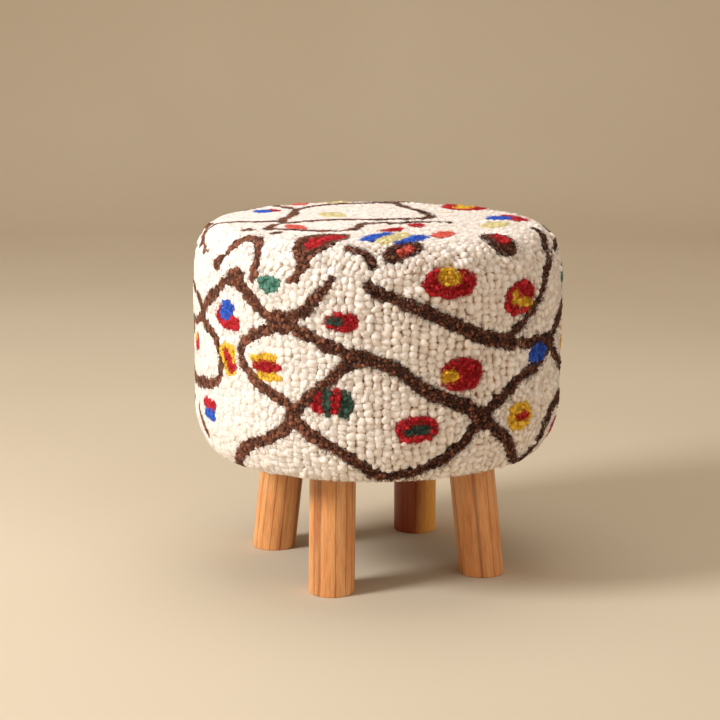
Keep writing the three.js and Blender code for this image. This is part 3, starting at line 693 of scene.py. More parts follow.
def aroundTop(reach, turn):  # from the middle of the top panel
    return topReach + reach * math.cos(turn), topReach + reach * math.sin(turn)


def topPlace(x, y):
    # seen from above, a place on the shoulder is drawn in; here it lies as far out as the cloth does
    radius, turn = math.hypot(x, y) * mm, math.atan2(y, x) + math.radians(patternTurn)
    wide = outline[0] > cover["seam"] / 2
    along = np.interp(-radius, -outline[1][wide], outline[0][wide])
    return aroundTop((outlineEnd - along) / mm, turn)


def shoulderPlace(angle, height):
    return aroundTop(outlineEnd / mm - height, math.radians(angle + patternTurn))


def paintPattern():
    for chart, place, lines, wider in ((sideChart, sidePlace, sideLines, hooking["sideWider"]),
                                       (topChart, topPlace, topLines, hooking["topWider"]),
                                       (topChart, shoulderPlace, topArches, hooking["shoulderWider"])):
        for halfWidth, points in lines:
            places = np.array([place(*point) for point in points])
            if chart.wraps:
                places[:, 0] = np.unwrap(places[:, 0], period=chart.shape[1])
            chart.paintLine(places, halfWidth + wider)
    for angle, height, *size in sideBlobs:
        sideChart.paintPatch(*sidePlace(angle, height), *size, "brown")
    for yarn, points in shoulderShapes:
        topChart.paintShape([shoulderPlace(*point) for point in points], yarn)
    for chart, place, spots in ((sideChart, sidePlace, sideSpots), (topChart, topPlace, topSpots)):
        for one, other, patches in spots:
            x, y = place(one, other)
            for yarn, across, up, *size in patches:
                chart.paintPatch(x + across, y + up, *size, yarn)


paintPattern()
print("pattern drawn, cells of each yarn:",
      [int((sideChart.yarn == i).sum() + (topChart.yarn == i).sum()) for i in range(len(yarns))])


# Loops: each takes the patch of cloth nearest to it in its own yarn

loops = {
    "creamColumn": 9.5,  # millimetres between columns of cream loops
    "creamLength": (5.2, 9.0),  # along a column
    "creamStray": 0.8,  # off its column
    "startBefore": 4,  # columns are set back by this, to cover the chart's start
    "sways": ((1.6, 31), (0.9, 11)),  # a column's long and short waves: reach, and length to a radian
    "swayAcross": 70,  # columns this far apart sway one radian apart
    "fineColumn": 3.6,  # the thinner dyed yarn
    "fineLength": 3.8,
    "fineStray": 1.2,
    "settling": 2,  # rounds that even the loops out
    "fewestCells": 5,  # a loop with less cloth than this is left out
    "cellSpread": 0.2,  # added to the spread of a loop's cells for their own size
    "leastSpread": 0.01,  # the least that its two spreads multiply to
    "longest": 6.4,  # half the length of a loop, past which it is hooked as two
    "farthest": 9,  # from a loop to cloth that it covers
    "rootDepth": 6.9 * mm,  # how far a loop goes down into the backing
    "rootRise": -0.4, "crownRise": 0.3,  # in the rings below: where the root begins, and the crown
    "twoWaves": 0.08, "threeWaves": 0.06,  # how far from round a loop is
    "sizeStray": 0.07, "heightStray": 0.08, "lean": 0.2,  # from loop to loop
    "bumpHeight": 2.2,  # millimetres that a bump of one would stand on a crown
    "swing": 0.3,  # radians, of a loop's fibres from the way it is hooked
    "mapReach": 500,  # millimetres over which the loops' maps are dealt out
    # rings are the reach and the rise of a loop's points, from its top down to the root
    "cream": {"sides": 12, "rings": [(0.44, 0.93), (0.79, 0.72), (1.02, 0.24), (1.13, -0.5)],
              "half": 4.0 * mm, "lift": -0.3 * mm, "rough": 0.65 * mm, "grow": (0.95, 1.1),
              "bumps": 0.07, "corner": 0.93, "hairs": 16, "hairLength": (2.5, 7.0),
              "hairRadius": 0.2 * mm, "hairDepth": (-2.8, -0.8)},
    "fine": {"sides": 7, "rings": [(0.62, 0.8), (0.98, 0.2), (1.05, -0.5)],
             "half": 2.9 * mm, "lift": 0.2 * mm, "rough": 1.1 * mm, "grow": (1.14, 1.14),
             "bumps": 0.14, "corner": 0.85, "hairs": 8, "hairLength": (1.8, 4.6),
             "hairRadius": 0.3 * mm, "hairDepth": (-1.6, -0.2)},
}
hairs = {  # each is a wisp of many fibres, which is the finest that shows
    "stray": 2.6,  # millimetres, from the middle of a loop to where it starts
    "bend": 0.9,  # radians, over its length
    "middle": 0.45, "ridge": 1.7,  # where it is thickest, and its height there, in radii
    "arch": 5.2 * mm,
    "rise": (1.6, 0.45), "risePower": 1.5,  # how far its end stands up, as a gamma draw
}


def scatterLoops(chart, turn):
    # cream loops in wandering columns and fine ones on a jittered lattice, both as places in the chart
    rows, columns = chart.shape
    random = chart.random
    # a round chart is covered by turned columns, which start from a square half as wide again
    reach = max(rows, columns) * 1.5
    width, height = (columns, rows) if chart.wraps else (reach, reach)
    count = round(width / loops["creamColumn"])
    shortest, longest = loops["creamLength"]
    steps = random.uniform(shortest, longest, (count, int(height / shortest) + 2))
    along = np.cumsum(steps, 1) - random.uniform(0, longest, (count, 1)) - loops["startBefore"]
    column = (np.arange(count)[:, None] + 0.5) * width / count
    phase = random.uniform(0, fullTurn, (count, 1))
    (slow, slowLength), (quick, quickLength) = loops["sways"]
    x = column + slow * np.sin(along / slowLength + column / loops["swayAcross"])
    x = x + quick * np.sin(along / quickLength + phase) + random.normal(0, loops["creamStray"], steps.shape)
    fineCount, fineRows = round(width / loops["fineColumn"]), int(height / loops["fineLength"]) + 1
    fy, fx = np.mgrid[0:fineRows, 0:fineCount].astype(float)
    stray = loops["fineStray"]
    fx = (fx + 0.5 * (fy % 2)) * width / fineCount + random.uniform(-stray, stray, fx.shape)
    fy = fy * loops["fineLength"] + random.uniform(-stray, stray, fy.shape)
    x, y = np.concatenate([x.ravel(), fx.ravel()]), np.concatenate([along.ravel(), fy.ravel()])
    fine = np.arange(len(x)) >= along.size
    if chart.wraps:
        x = x % columns
        keep = (y > 0) & (y < rows)
    else:
        x, y = x - reach / 2, y - reach / 2
        x, y = (x * math.cos(turn) - y * math.sin(turn) + columns / 2,
                x * math.sin(turn) + y * math.cos(turn) + rows / 2)
        keep = (x > 0) & (x < columns) & (y > 0) & (y < rows)
    x, y, fine = x[keep], y[keep], fine[keep]
    yarn = chart.yarn[y.astype(int), x.astype(int) % columns]
    keep = (yarn > 0) == fine
    return x[keep], y[keep], yarn[keep]


def nearestLoop(chart, x, y, yarn):
    # jump flooding: each cell takes the nearest loop of its own yarn known to the cells 16 to 1 mm away
    rows, columns = chart.shape
    owner = np.full(chart.shape, -1)
    owner[np.clip(y.astype(int), 0, rows - 1), x.astype(int) % columns] = np.arange(len(x))
    best = np.full(chart.shape, np.inf)
    for step in (16, 8, 4, 2, 1, 1):
        for dy in (-step, 0, step):
            for dx in (-step, 0, step):
                other = np.roll(owner, (dy, dx), (0, 1))
                if dy:
                    other[:dy if dy > 0 else None][dy if dy < 0 else 0:] = -1
                if dx and not chart.wraps:
                    other[:, :dx if dx > 0 else None][:, dx if dx < 0 else 0:] = -1
                distance = chart.across(x[other]) ** 2 + (chart.y - y[other]) ** 2
                closer = (other >= 0) & (yarn[other] == chart.yarn) & (distance < best)
                owner, best = np.where(closer, other, owner), np.where(closer, distance, best)
    return np.where(best < loops["farthest"] ** 2, owner, -1)


def settleLoops(chart, turn):
    # moves each loop to the middle of its cells, then gives its spread: the square root of their
    # covariance, doubled, turns a unit circle into the ellipse that the cells fill
    x, y, yarn = scatterLoops(chart, turn)
    for last in [False] * loops["settling"] + [True]:
        owner = nearestLoop(chart, x, y, yarn)
        held = owner >= 0
        who = owner[held]
        count = np.bincount(who, minlength=len(x))
        keep = count >= loops["fewestCells"]
        gapX, gapY = chart.across(x[owner])[held], (chart.y - y[owner])[held]
        meanX, meanY, squareX, squareY, product = (
            np.bincount(who, values, len(x)) / np.maximum(count, 1)
            for values in (gapX, gapY, gapX * gapX, gapY * gapY, gapX * gapY))
        xx = squareX - meanX ** 2 + loops["cellSpread"]
        yy = squareY - meanY ** 2 + loops["cellSpread"]
        xy = product - meanX * meanY
        if not last:
            half = 2 * np.sqrt((xx + yy) / 2 + np.hypot((xx - yy) / 2, xy))  # the cells' longer half axis
            way = np.arctan2(2 * xy, xx - yy) / 2
            step = np.where(half > loops["longest"], half / 2, 0)
            two = keep & (step > 0)
            x, y = x + meanX, y + meanY
            ahead, aside = step * np.cos(way), step * np.sin(way)
            x = np.concatenate([(x + ahead)[keep], (x - ahead)[two]]) % chart.shape[1]
            y = np.concatenate([(y + aside)[keep], (y - aside)[two]])
            yarn = np.concatenate([yarn[keep], yarn[two]])
    root = np.sqrt(np.maximum(xx * yy - xy ** 2, loops["leastSpread"]))
    scale = 2 / np.sqrt(xx + yy + 2 * root)
    spread = np.stack([np.stack([xx + root, xy], -1), np.stack([xy, yy + root], -1)], -2)
    spread = spread * scale[:, None, None]
    return x[keep], y[keep], yarn[keep], spread[keep]


def loopMesh(place, x, y, spread, kind, random, lengthwise):
    # One loop is a dome on a root: rings of points whose reach and rise come from the kind's
    # list, stretched over the loop's ellipse. place turns chart places and heights to points.
    count, sides, rings = len(x), kind["sides"], np.array(kind["rings"])
    phi = np.arange(sides) / sides * fullTurn
    reach = np.concatenate([[0], np.repeat(rings[:, 0], sides), [0]])
    rise = np.concatenate([[1], np.repeat(rings[:, 1], sides), [-1]])
    turn = np.concatenate([[0], np.tile(phi, len(rings)), [0]])
    wave = random.uniform(0, fullTurn, (2, count, 1))
    uneven = (1 + loops["twoWaves"] * np.cos(2 * turn + wave[0])
              + loops["threeWaves"] * np.cos(3 * turn + wave[1]))
    uneven = uneven + random.normal(0, kind["bumps"], (count, len(rise)))
    # a circle pulled out to rounded corners, so that neighbours leave no hole between them
    circle = np.stack([np.cos(turn), np.sin(turn)], -1)
    circle = np.sign(circle) * np.abs(circle) ** kind["corner"]
    size = random.normal(1, loops["sizeStray"], (count, 1))
    offset = (circle @ spread.transpose(0, 2, 1)) * (reach * uneven * size)[..., None] * kind["grow"]
    top = random.normal(0, kind["rough"], (count, 1)) + kind["lift"]
    half = kind["half"] * random.normal(1, loops["heightStray"], (count, 1))
    root = loops["rootDepth"] - half + top
    raised = np.where(rise > 0, top - half * (1 - rise), top - half + rise * root)
    bumps = random.normal(0, kind["bumps"] * loops["bumpHeight"], raised.shape) * mm
    raised = raised + bumps * (rise > loops["crownRise"])
    lean = random.normal(0, loops["lean"], (2, count, 1)) * mm
    leant = offset[..., 0] * lean[0] + offset[..., 1] * lean[1]
    raised = raised + leant * (rise > loops["rootRise"])
    points = place(x[:, None] + offset[..., 0], y[:, None] + offset[..., 1], raised)
    # fibres run along the loop: the map's second coordinate, turned a little for each loop
    swing = lengthwise + random.normal(0, loops["swing"], (count, 1))
    mapX = offset[..., 0] * np.cos(swing) + offset[..., 1] * np.sin(swing)
    mapY = offset[..., 1] * np.cos(swing) - offset[..., 0] * np.sin(swing)
    uv = np.stack([mapX, mapY], -1) + random.uniform(0, loops["mapReach"], (count, 1, 2))
    shade = np.broadcast_to(random.uniform(0, 1, (count, 1, 2)), (count, len(rise), 2))
    # a point's height in its loop, which puts the painted shade low down between the loops
    height = np.broadcast_to((rise * 0.5 + 0.5)[None, :, None], (count, len(rise), 1))
    made = np.concatenate([height, shade], -1)
    bottom = 1 + len(rings) * sides
    caps = np.concatenate([fan(1, 0, sides)[:, [2, 0, 1]],
                           fan(bottom - sides, bottom, sides)[:, [2, 1, 0]]])
    walls = 1 + gridFaces(len(rings), sides)[:, [0, 3, 2, 1]]
    shift = (np.arange(count) * len(rise))[:, None, None]
    return (points.reshape(-1, 3), [(caps + shift).reshape(-1, 3), (walls + shift).reshape(-1, 4)],
            uv.reshape(-1, 2), made.reshape(-1, 3))


def hairMesh(place, x, y, kind, random):
    # Stray fibres, in wisps: each is a spindle from a point in a loop, over a triangle of points in the
    # middle, to its free end. Its height is an arch plus a rise to that end.
    x, y = (np.repeat(v, kind["hairs"]) + random.normal(0, hairs["stray"], len(v) * kind["hairs"])
            for v in (x, y))
    count = len(x)
    heading = random.uniform(0, fullTurn, (count, 1))
    bend = random.normal(0, hairs["bend"], (count, 1))
    size = random.uniform(*kind["hairLength"], (count, 1))
    start = random.uniform(*kind["hairDepth"], (count, 1)) * mm
    rise = random.gamma(*hairs["rise"], (count, 1)) * mm
    middle, radius = hairs["middle"], kind["hairRadius"]
    share = np.array([0, middle, middle, middle, 1])
    side, lift = np.array([0, -1, 1, 0, 0]), np.array([0, 0, 0, hairs["ridge"], 0]) * radius
    way = heading + bend * share
    px = x[:, None] + size * share * np.cos(way) - side * radius / mm * np.sin(way)
    py = y[:, None] + size * share * np.sin(way) + side * radius / mm * np.cos(way)
    raised = start + hairs["arch"] * share * (1 - share) + rise * share ** hairs["risePower"] + lift
    points = place(px, py, raised)
    spindle = np.array([[0, 2, 1], [0, 3, 2], [0, 1, 3], [4, 1, 2], [4, 2, 3], [4, 3, 1]])
    faces = spindle + (np.arange(count) * 5)[:, None, None]
    uv = np.stack([px, py], -1).reshape(-1, 2)
    made = np.concatenate([np.broadcast_to(0.75 + 0.25 * share, (count, 5)).reshape(-1, 1),
                           np.repeat(random.uniform(0, 1, (count, 2)), 5, 0)], -1)
    return points.reshape(-1, 3), [faces.reshape(-1, 3)], uv, made


pile = {  # how the loops stand on the cover, as hooked by hand and sat on
    "fuller": 2.4 * mm,  # the pile is this much longer on the left of the view, at the roll
    "shoulderShare": 0.6,  # and this share of it at the shoulder
    "roll": (0, 60 * mm), "shoulder": (250 * mm, 50 * mm),  # where that is, and how far it reaches
    "fluffier": 0.8,  # how much shallower its hollows are there
    "wider": 0.18,  # how much wider its loops
    "lessPaintedShade": 0.42,  # and how much less painted shade it gets between them
    "seamDip": 1.3 * mm, "seamDipReach": 4 * mm,
    "clumps": 0.3, "seamClumps": 1.1, "frontClumps": 1.2,  # all over, at the seam and in front there
    "seamClumpsReach": 24 * mm,
    "tuftedAt": -97.5,  # degrees, where the pile stands in the biggest clumps
    "tuftedPower": 4,
    "root": -5 * mm,  # below this a point belongs to a root, which stays in its cloth
    "pressed": ([140 * mm, 176 * mm], [0.45, 0.95]),  # flatter in the seat's middle than at its shoulder
}


def leftward(angle):  # 1 on the left of the view, 0 on its right half
    return np.clip(-np.cos(angle - math.radians(camera["azimuth"])), 0, 1)


def fuller(length, angle):
    # the hand-hooked pile is a little longer at the roll and the shoulder on the left of the view
    side = np.cos(angle - math.radians(camera["azimuth"]))
    low, high = (np.clip(1 - np.abs(length - at) / reach, 0, 1)
                 for at, reach in (pile["roll"], pile["shoulder"]))
    seamDip = pile["seamDip"] * np.exp(-((length - cover["seam"]) / pile["seamDipReach"]) ** 2)
    return -pile["fuller"] * side * (low + pile["shoulderShare"] * high) - seamDip


def clumped(chart, x, y, length, angle):
    # the pile rises and sinks in clumps, most near the seam, and there most on the front
    rows, columns = chart.shape
    row = np.clip(y.astype(int), 0, rows - 1)
    column = x.astype(int) % columns if chart.wraps else np.clip(x.astype(int), 0, columns - 1)
    front = np.exp(pile["tuftedPower"] * (np.cos(angle - math.radians(pile["tuftedAt"])) - 1))
    seamed = np.exp(-((length - cover["seam"]) / pile["seamClumpsReach"]) ** 2)
    share = pile["clumps"] + (pile["seamClumps"] + pile["frontClumps"] * front) * seamed
    return chart.clumps[row, column] * share * mm


def placeLoops(chart, x, y, length, angle, raised):
    # points of loops on the cover: the fuller pile has shallower hollows, and roots stay in the cloth
    raised = np.where(raised > pile["root"], raised * (1 - pile["fluffier"] * leftward(angle)), raised)
    uneven = fuller(length, angle) + clumped(chart, x, y, length, angle)
    return onCover(length, angle, raised + uneven * (raised > pile["root"]))


def placeOnSide(x, y, raised):
    angle, length = x / sideChart.shape[1] * fullTurn, (y - sideRows) * mm
    return placeLoops(sideChart, x, y, length, angle, raised)


def placeOnTop(x, y, raised):
    acrossX, acrossY = (x - topReach) * mm, (y - topReach) * mm
    out = np.hypot(acrossX, acrossY)
    angle, length = np.arctan2(acrossY, acrossX), outlineEnd - out
    raised = np.where(raised > pile["root"], raised * np.interp(out, *pile["pressed"]), raised)
    return placeLoops(topChart, x, y, length, angle, raised)


# Wool: hand-spun yarn, undyed or dyed, hooked through a woven cloth. Matt, softly fuzzy, with painted
# shade down between the loops, and the twist of its fibres just visible.

woolColours = {  # painted shade deep between the loops, the side of a loop, its lit top, and a darker loop's top
    "cream": ("#d6a67c", "#fbeee0", "#fffaf5", "#fdf4ea"),
    "brown": ("#050201", "#2a130b", "#a4664b", "#2f160d"),
    "red": ("#520509", "#a8121c", "#d92631", "#b81620"),
    "coral": ("#8a261d", "#d44a3b", "#f5705e", "#e65c4b"),
    "yellow": ("#cf8d18", "#fabd2a", "#ffd94a", "#fdca36"),
    "straw": ("#c4ae6c", "#ead998", "#f8ecb4", "#efe0a2"),
    "blue": ("#0b1c60", "#1d49b6", "#3d72e6", "#2759cc"),
    "green": ("#183124", "#3a6b59", "#6ba290", "#4d8571"),
    "fir": ("#0b150f", "#263c31", "#466454", "#30493c"),
}
wool = {
    "strandSpacing": 1.9,  # millimetres, between the strands that twist round each other in a loop
    "strandDepth": 0.8 * mm,
    "tuftDepth": 2.4 * mm,
    # heights in a loop of its painted shade, its side and its top, for a pale loop and a darker one
    "litAt": (0.27, 0.54, 0.85), "darkAt": (0.34, 0.66, 0.9),
    # size of the clumps of fibres, how much they mottle the colour and roughen the face, how much
    # farther up a loop its painted shade reaches, and the sheen
    "cream": {"tuft": 2.0 * mm, "mottle": 0.34, "rough": 0.36, "shadeRise": 0.1, "sheen": 0.2},
    "brown": {"tuft": 2.6 * mm, "mottle": 0.7, "rough": 0.6, "shadeRise": 0.15, "sheen": 0.06},
    "dyed": {"tuft": 1.6 * mm, "mottle": 0.45, "rough": 0.6, "shadeRise": 0.0, "sheen": 0.06},
}


def hookedWool(yarn):
    paintedShade, flank, lit, dark = woolColours[yarn]
    kind = wool.get(yarn, wool["dyed"])
    material, tree, shader = newMaterial(yarn + "HookedWool", Roughness=0.95, Sheen_Weight=kind["sheen"],
                                         Sheen_Roughness=0.5, Sheen_Tint=linear(lit))
    loop = addNode(tree, "ShaderNodeAttribute", attribute_name="loop").outputs["Vector"]
    made = addNode(tree, "ShaderNodeSeparateXYZ", {0: loop})
    place = addNode(tree, "ShaderNodeTexCoord").outputs["Object"]
    uv = addNode(tree, "ShaderNodeUVMap", uv_map="yarn").outputs["UV"]
    tuft = addNode(tree, "ShaderNodeTexNoise",
                   {"Vector": place, "Scale": 1 / kind["tuft"], "Detail": 5, "Roughness": 0.75})
    # diagonal bands lie twice as far apart as straight ones
    twist = addNode(tree, "ShaderNodeTexWave",
                    {"Vector": uv, "Scale": 2 * wavePeriod / wool["strandSpacing"], "Distortion": 4,
                     "Detail": 2, "Detail Scale": 1.2}, wave_type="BANDS", bands_direction="DIAGONAL")
    # the clumps shift the height at which a loop's painted shade gives way
    shift = addNode(tree, "ShaderNodeMath",
                    {0: tuft.outputs["Fac"], 1: kind["mottle"], 2: made.outputs["X"]},
                    operation="MULTIPLY_ADD")
    height = addNode(tree, "ShaderNodeMath", {0: shift.outputs[0], 1: kind["mottle"] / 2},
                     operation="SUBTRACT")
    # ramps from the painted shade low in a loop, over its side, to its top
    bright, plain = (
        addNode(tree, "ShaderNodeValToRGB", {"Fac": height.outputs[0]},
                stops=list(zip(np.add(wool[places], kind["shadeRise"]), (paintedShade, flank, top)))).outputs["Color"]
        for places, top in (("litAt", lit), ("darkAt", dark)))
    mixed = addNode(tree, "ShaderNodeMix", {0: made.outputs["Y"], 6: bright, 7: plain}, data_type="RGBA")
    strand = addNode(tree, "ShaderNodeBump",
                     {"Height": twist.outputs["Fac"], "Distance": wool["strandDepth"], "Strength": 0.3})
    clump = addNode(tree, "ShaderNodeBump", {"Height": tuft.outputs["Fac"], "Distance": wool["tuftDepth"],
                                             "Strength": kind["rough"], "Normal": strand.outputs[0]})
    feed(shader, Base_Color=mixed.outputs[2], Normal=clump.outputs[0])
    return material


woolMaterials = {yarn: hookedWool(yarn) for yarn in yarns}


foundation = {
    "weave": 2 * mm, "weaveDepth": 0.4 * mm,
    "tones": [(0.05, "#a58a68"), (0.6, "#d9c7a8")],
    "rings": 72, "sides": 192,
    "middleGap": 0.6 * mm,  # the top's cloth ends this short of its middle
}


def monksCloth():  # loosely woven unbleached cotton, the foundation of hooked rugs
    material, tree, shader = newMaterial("monksCloth", Roughness=0.9)
    place = addNode(tree, "ShaderNodeAttribute", attribute_name="cloth").outputs["Vector"]
    warp, weft = (
        addNode(tree, "ShaderNodeTexWave", {"Vector": place, "Scale": wavePeriod / foundation["weave"],
                                            "Distortion": 0.4, "Detail": 1},
                wave_type="BANDS", bands_direction=way).outputs["Fac"] for way in ("X", "Y"))
    weave = addNode(tree, "ShaderNodeMath", {0: warp, 1: weft}, operation="MULTIPLY")
    toneAndBump(tree, shader, weave.outputs[0], foundation["tones"], foundation["weaveDepth"], 0.7)
    return material


clothMaterial = monksCloth()


def makeBacking(name, node, start, end):
    # the foundation cloth: a closed shell between two insets of the outline, from start to end
    rings, sides = foundation["rings"], foundation["sides"]
    outer = np.linspace(start, end, rings)
    lengths = np.concatenate([outer, outer[::-1]])[:, None]
    depths = cover["thickness"] - np.repeat([cover["backing"], cover["backingFloor"]], rings)
    around = np.linspace(0, fullTurn, sides, endpoint=False)[None, :]
    points = onCover(lengths, around, -depths[:, None] + 0 * around)
    cloth = np.stack([around * seatRadius + 0 * lengths, lengths + 0 * around, 0 * points[..., 0]], -1)
    piece = newPiece(name, points.reshape(-1, 3), [tubeFaces(2 * rings, sides)], clothMaterial,
                     attributes={"cloth": cloth.reshape(-1, 3)})
    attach(piece, "root")
    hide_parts(node)
    return piece


sideBacking = makeBacking("sideBacking", "side_band", -cover["turnUnder"], cover["seam"])
topBacking = makeBacking("topBacking", "top_panel", cover["seam"], outlineEnd - foundation["middleGap"])
print("backing made")


def joinMeshes(one, other):
    points, faces, uv, made = one
    faces = faces + [shape + len(points) for shape in other[1]]
    return (np.concatenate([points, other[0]]), faces, np.concatenate([uv, other[2]]),
            np.concatenate([made, other[3]]))


def makeLoops(label, chart, place, backing, turn, sectors):
    # the loops of each yarn and their stray fibres, in as many pieces as sectors says
    x, y, yarn, spread = settleLoops(chart, turn)
    random = chart.random
    if chart.wraps:
        around = x / chart.shape[1]
        angle = around * fullTurn
    else:
        keep = np.hypot(x - topReach, y - topReach) * mm < outlineEnd - cover["seam"] + 1 * mm
        x, y, yarn, spread = x[keep], y[keep], yarn[keep], spread[keep]
        around = y / chart.shape[0]
        angle = np.arctan2(y - topReach, x - topReach)
    spread = spread * (1 + pile["wider"] * leftward(angle))[:, None, None]
    for index, colour in enumerate(yarns):
        kind = loops["cream" if colour == "cream" else "fine"]
        parts = sectors.get(colour, 1)
        for part in range(parts):
            mine = (yarn == index) & ((around * parts).astype(int) % parts == part)
            if not mine.any():
                continue
            mesh = loopMesh(place, x[mine], y[mine], spread[mine], kind, random, turn)
            points, faces, uv, made = joinMeshes(mesh, hairMesh(place, x[mine], y[mine], kind, random))
            # less painted shade between the loops on the left of the view, where the pile is fuller
            made[:, 0] += pile["lessPaintedShade"] * leftward(np.arctan2(points[:, 1], points[:, 0]))
            name = f"{label}{colour.title()}Loops" + (str(part + 1) if parts > 1 else "")
            piece = newPiece(name, points, faces, woolMaterials[colour], uv=uv, attributes={"loop": made})
            piece.parent = backing
            triangles = sum(len(f) * (f.shape[1] - 2) for f in faces)
            print(name, int(mine.sum()), "loops,", triangles, "triangles")


makeLoops("side", sideChart, placeOnSide, sideBacking, 0.0, {"cream": 5, "brown": 2})
makeLoops("top", topChart, placeOnTop, topBacking, math.radians(24), {"cream": 2})


# Padding: polyurethane foam, cast in blocks and sawn. Pale yellow, dull, with open cells of 1 mm.

padding = {
    "inset": 8.6 * mm,  # from the cover's outline
    "inner": 177.7 * mm, "foot": 148.5 * mm, "shellTop": 339.4 * mm, "padBottom": 339.7 * mm,
    "middle": 4 * mm,  # the pad's profile stops this far from its middle
    "profileStep": 6,  # points of the outline to one of a profile
    "sides": 128,
    "cell": 1 * mm, "cellDepth": 0.3 * mm,
    "tones": [(0.1, "#c9bb86"), (0.6, "#efe6c4")],
}


def sawnFoam():
    material, tree, shader = newMaterial("polyurethaneFoam", Roughness=0.9)
    place = addNode(tree, "ShaderNodeTexCoord").outputs["Object"]
    cells = addNode(tree, "ShaderNodeTexVoronoi", {"Vector": place, "Scale": 1 / padding["cell"]})
    toneAndBump(tree, shader, cells.outputs["Distance"], padding["tones"], padding["cellDepth"], 0.5)
    return material


def makePad(name, node, profile, closed, material):
    # a profile of radius and height turned round the stool; a closed one is a ring, an open one
    # ends in the middle
    rows, sides = len(profile), padding["sides"]
    around = np.linspace(0, fullTurn, sides, endpoint=False)
    points = np.stack([profile[:, :1] * np.cos(around), profile[:, :1] * np.sin(around),
                       profile[:, 1:] + 0 * around], -1).reshape(-1, 3)
    if closed:
        faces = [tubeFaces(rows, sides)]
    else:
        points = np.concatenate([points, [[0, 0, profile[0, 1]], [0, 0, profile[-1, 1]]]])
        faces = cappedFaces(rows, sides)
    piece = newPiece(name, points, faces, material)
    piece.data.set_sharp_from_angle(angle=math.radians(50))
    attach(piece, "root")
    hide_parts(node)


def makePadding():
    foam = sawnFoam()
    inner, foot, bottom = padding["inner"], padding["foot"], padding["padBottom"]
    reach, height = (outline[i] - padding["inset"] * outline[i + 2] for i in (1, 2))
    inset = np.stack([reach, height], -1)[outline[0] > 0][::padding["profileStep"]]
    reach, height = inset[:, 0], inset[:, 1]
    upper = inset[(height > bottom) & (reach > padding["middle"])]
    rim = np.array([[0.5 * upper[0, 0], bottom], [upper[0, 0], bottom]])
    makePad("topPad", "top_foam", np.concatenate([rim, upper]), False, foam)
    lower = inset[(height > foot) & (height < padding["shellTop"]) & (reach > inner)]
    inside = np.array([[inner, padding["shellTop"]], [inner, foot]])
    makePad("sidePad", "side_foam", np.concatenate([lower, inside]), True, foam)


makePadding()
print("padding made")


# Dust cover: spun-bonded black cambric, a dull felted sheet embossed with small dots, stapled taut

dust = {
    "radius": 170 * mm, "rimInner": 157.7 * mm, "fold": 154.4 * mm,
    "rim": [157.7 * mm, 160 * mm, 163.5 * mm, 167 * mm, 170 * mm],  # its outermost rings of points
    "hole": 0.5 * mm,  # radius of the innermost
    "step": 2.6, "lastStep": 156,  # millimetres between the others, and where they end
    "sides": 256,
    "thickness": 0.5 * mm,
    "rimTop": 141.7 * mm, "top": 145 * mm,
    "middleDepth": 0.2 * mm,  # from its top face to the middle of its thickness
    "opening": 58.98 * mm,  # square hole round each leg's plate
    "edgeReach": 2.4 * mm,  # points nearer to an opening's edge than this are drawn onto it
    "sag": 1.1 * mm,
    "taut": (2 * mm, 30 * mm, 18 * mm),  # a flat rim, and how soon it sags from there and from an opening
    "pucker": 0.25 * mm,
    "dots": 2.2 * mm, "fibre": 0.8 * mm, "dotDepth": 0.15 * mm,
    "tones": [(0.05, "#1c1a18"), (0.4, "#37332f")],
}


def spunCambric():
    material, tree, shader = newMaterial("spunbondCambric", Roughness=0.88)
    place = addNode(tree, "ShaderNodeTexCoord").outputs["Object"]
    dots = addNode(tree, "ShaderNodeTexVoronoi",
                   {"Vector": place, "Scale": 1 / dust["dots"], "Randomness": 0.15})
    fibre = addNode(tree, "ShaderNodeTexNoise", {"Vector": place, "Scale": 1 / dust["fibre"], "Detail": 4})
    both = addNode(tree, "ShaderNodeMath", {0: dots.outputs["Distance"], 1: fibre.outputs["Fac"]},
                   operation="MULTIPLY")
    toneAndBump(tree, shader, both.outputs[0], dust["tones"], dust["dotDepth"], 0.8)
    return material


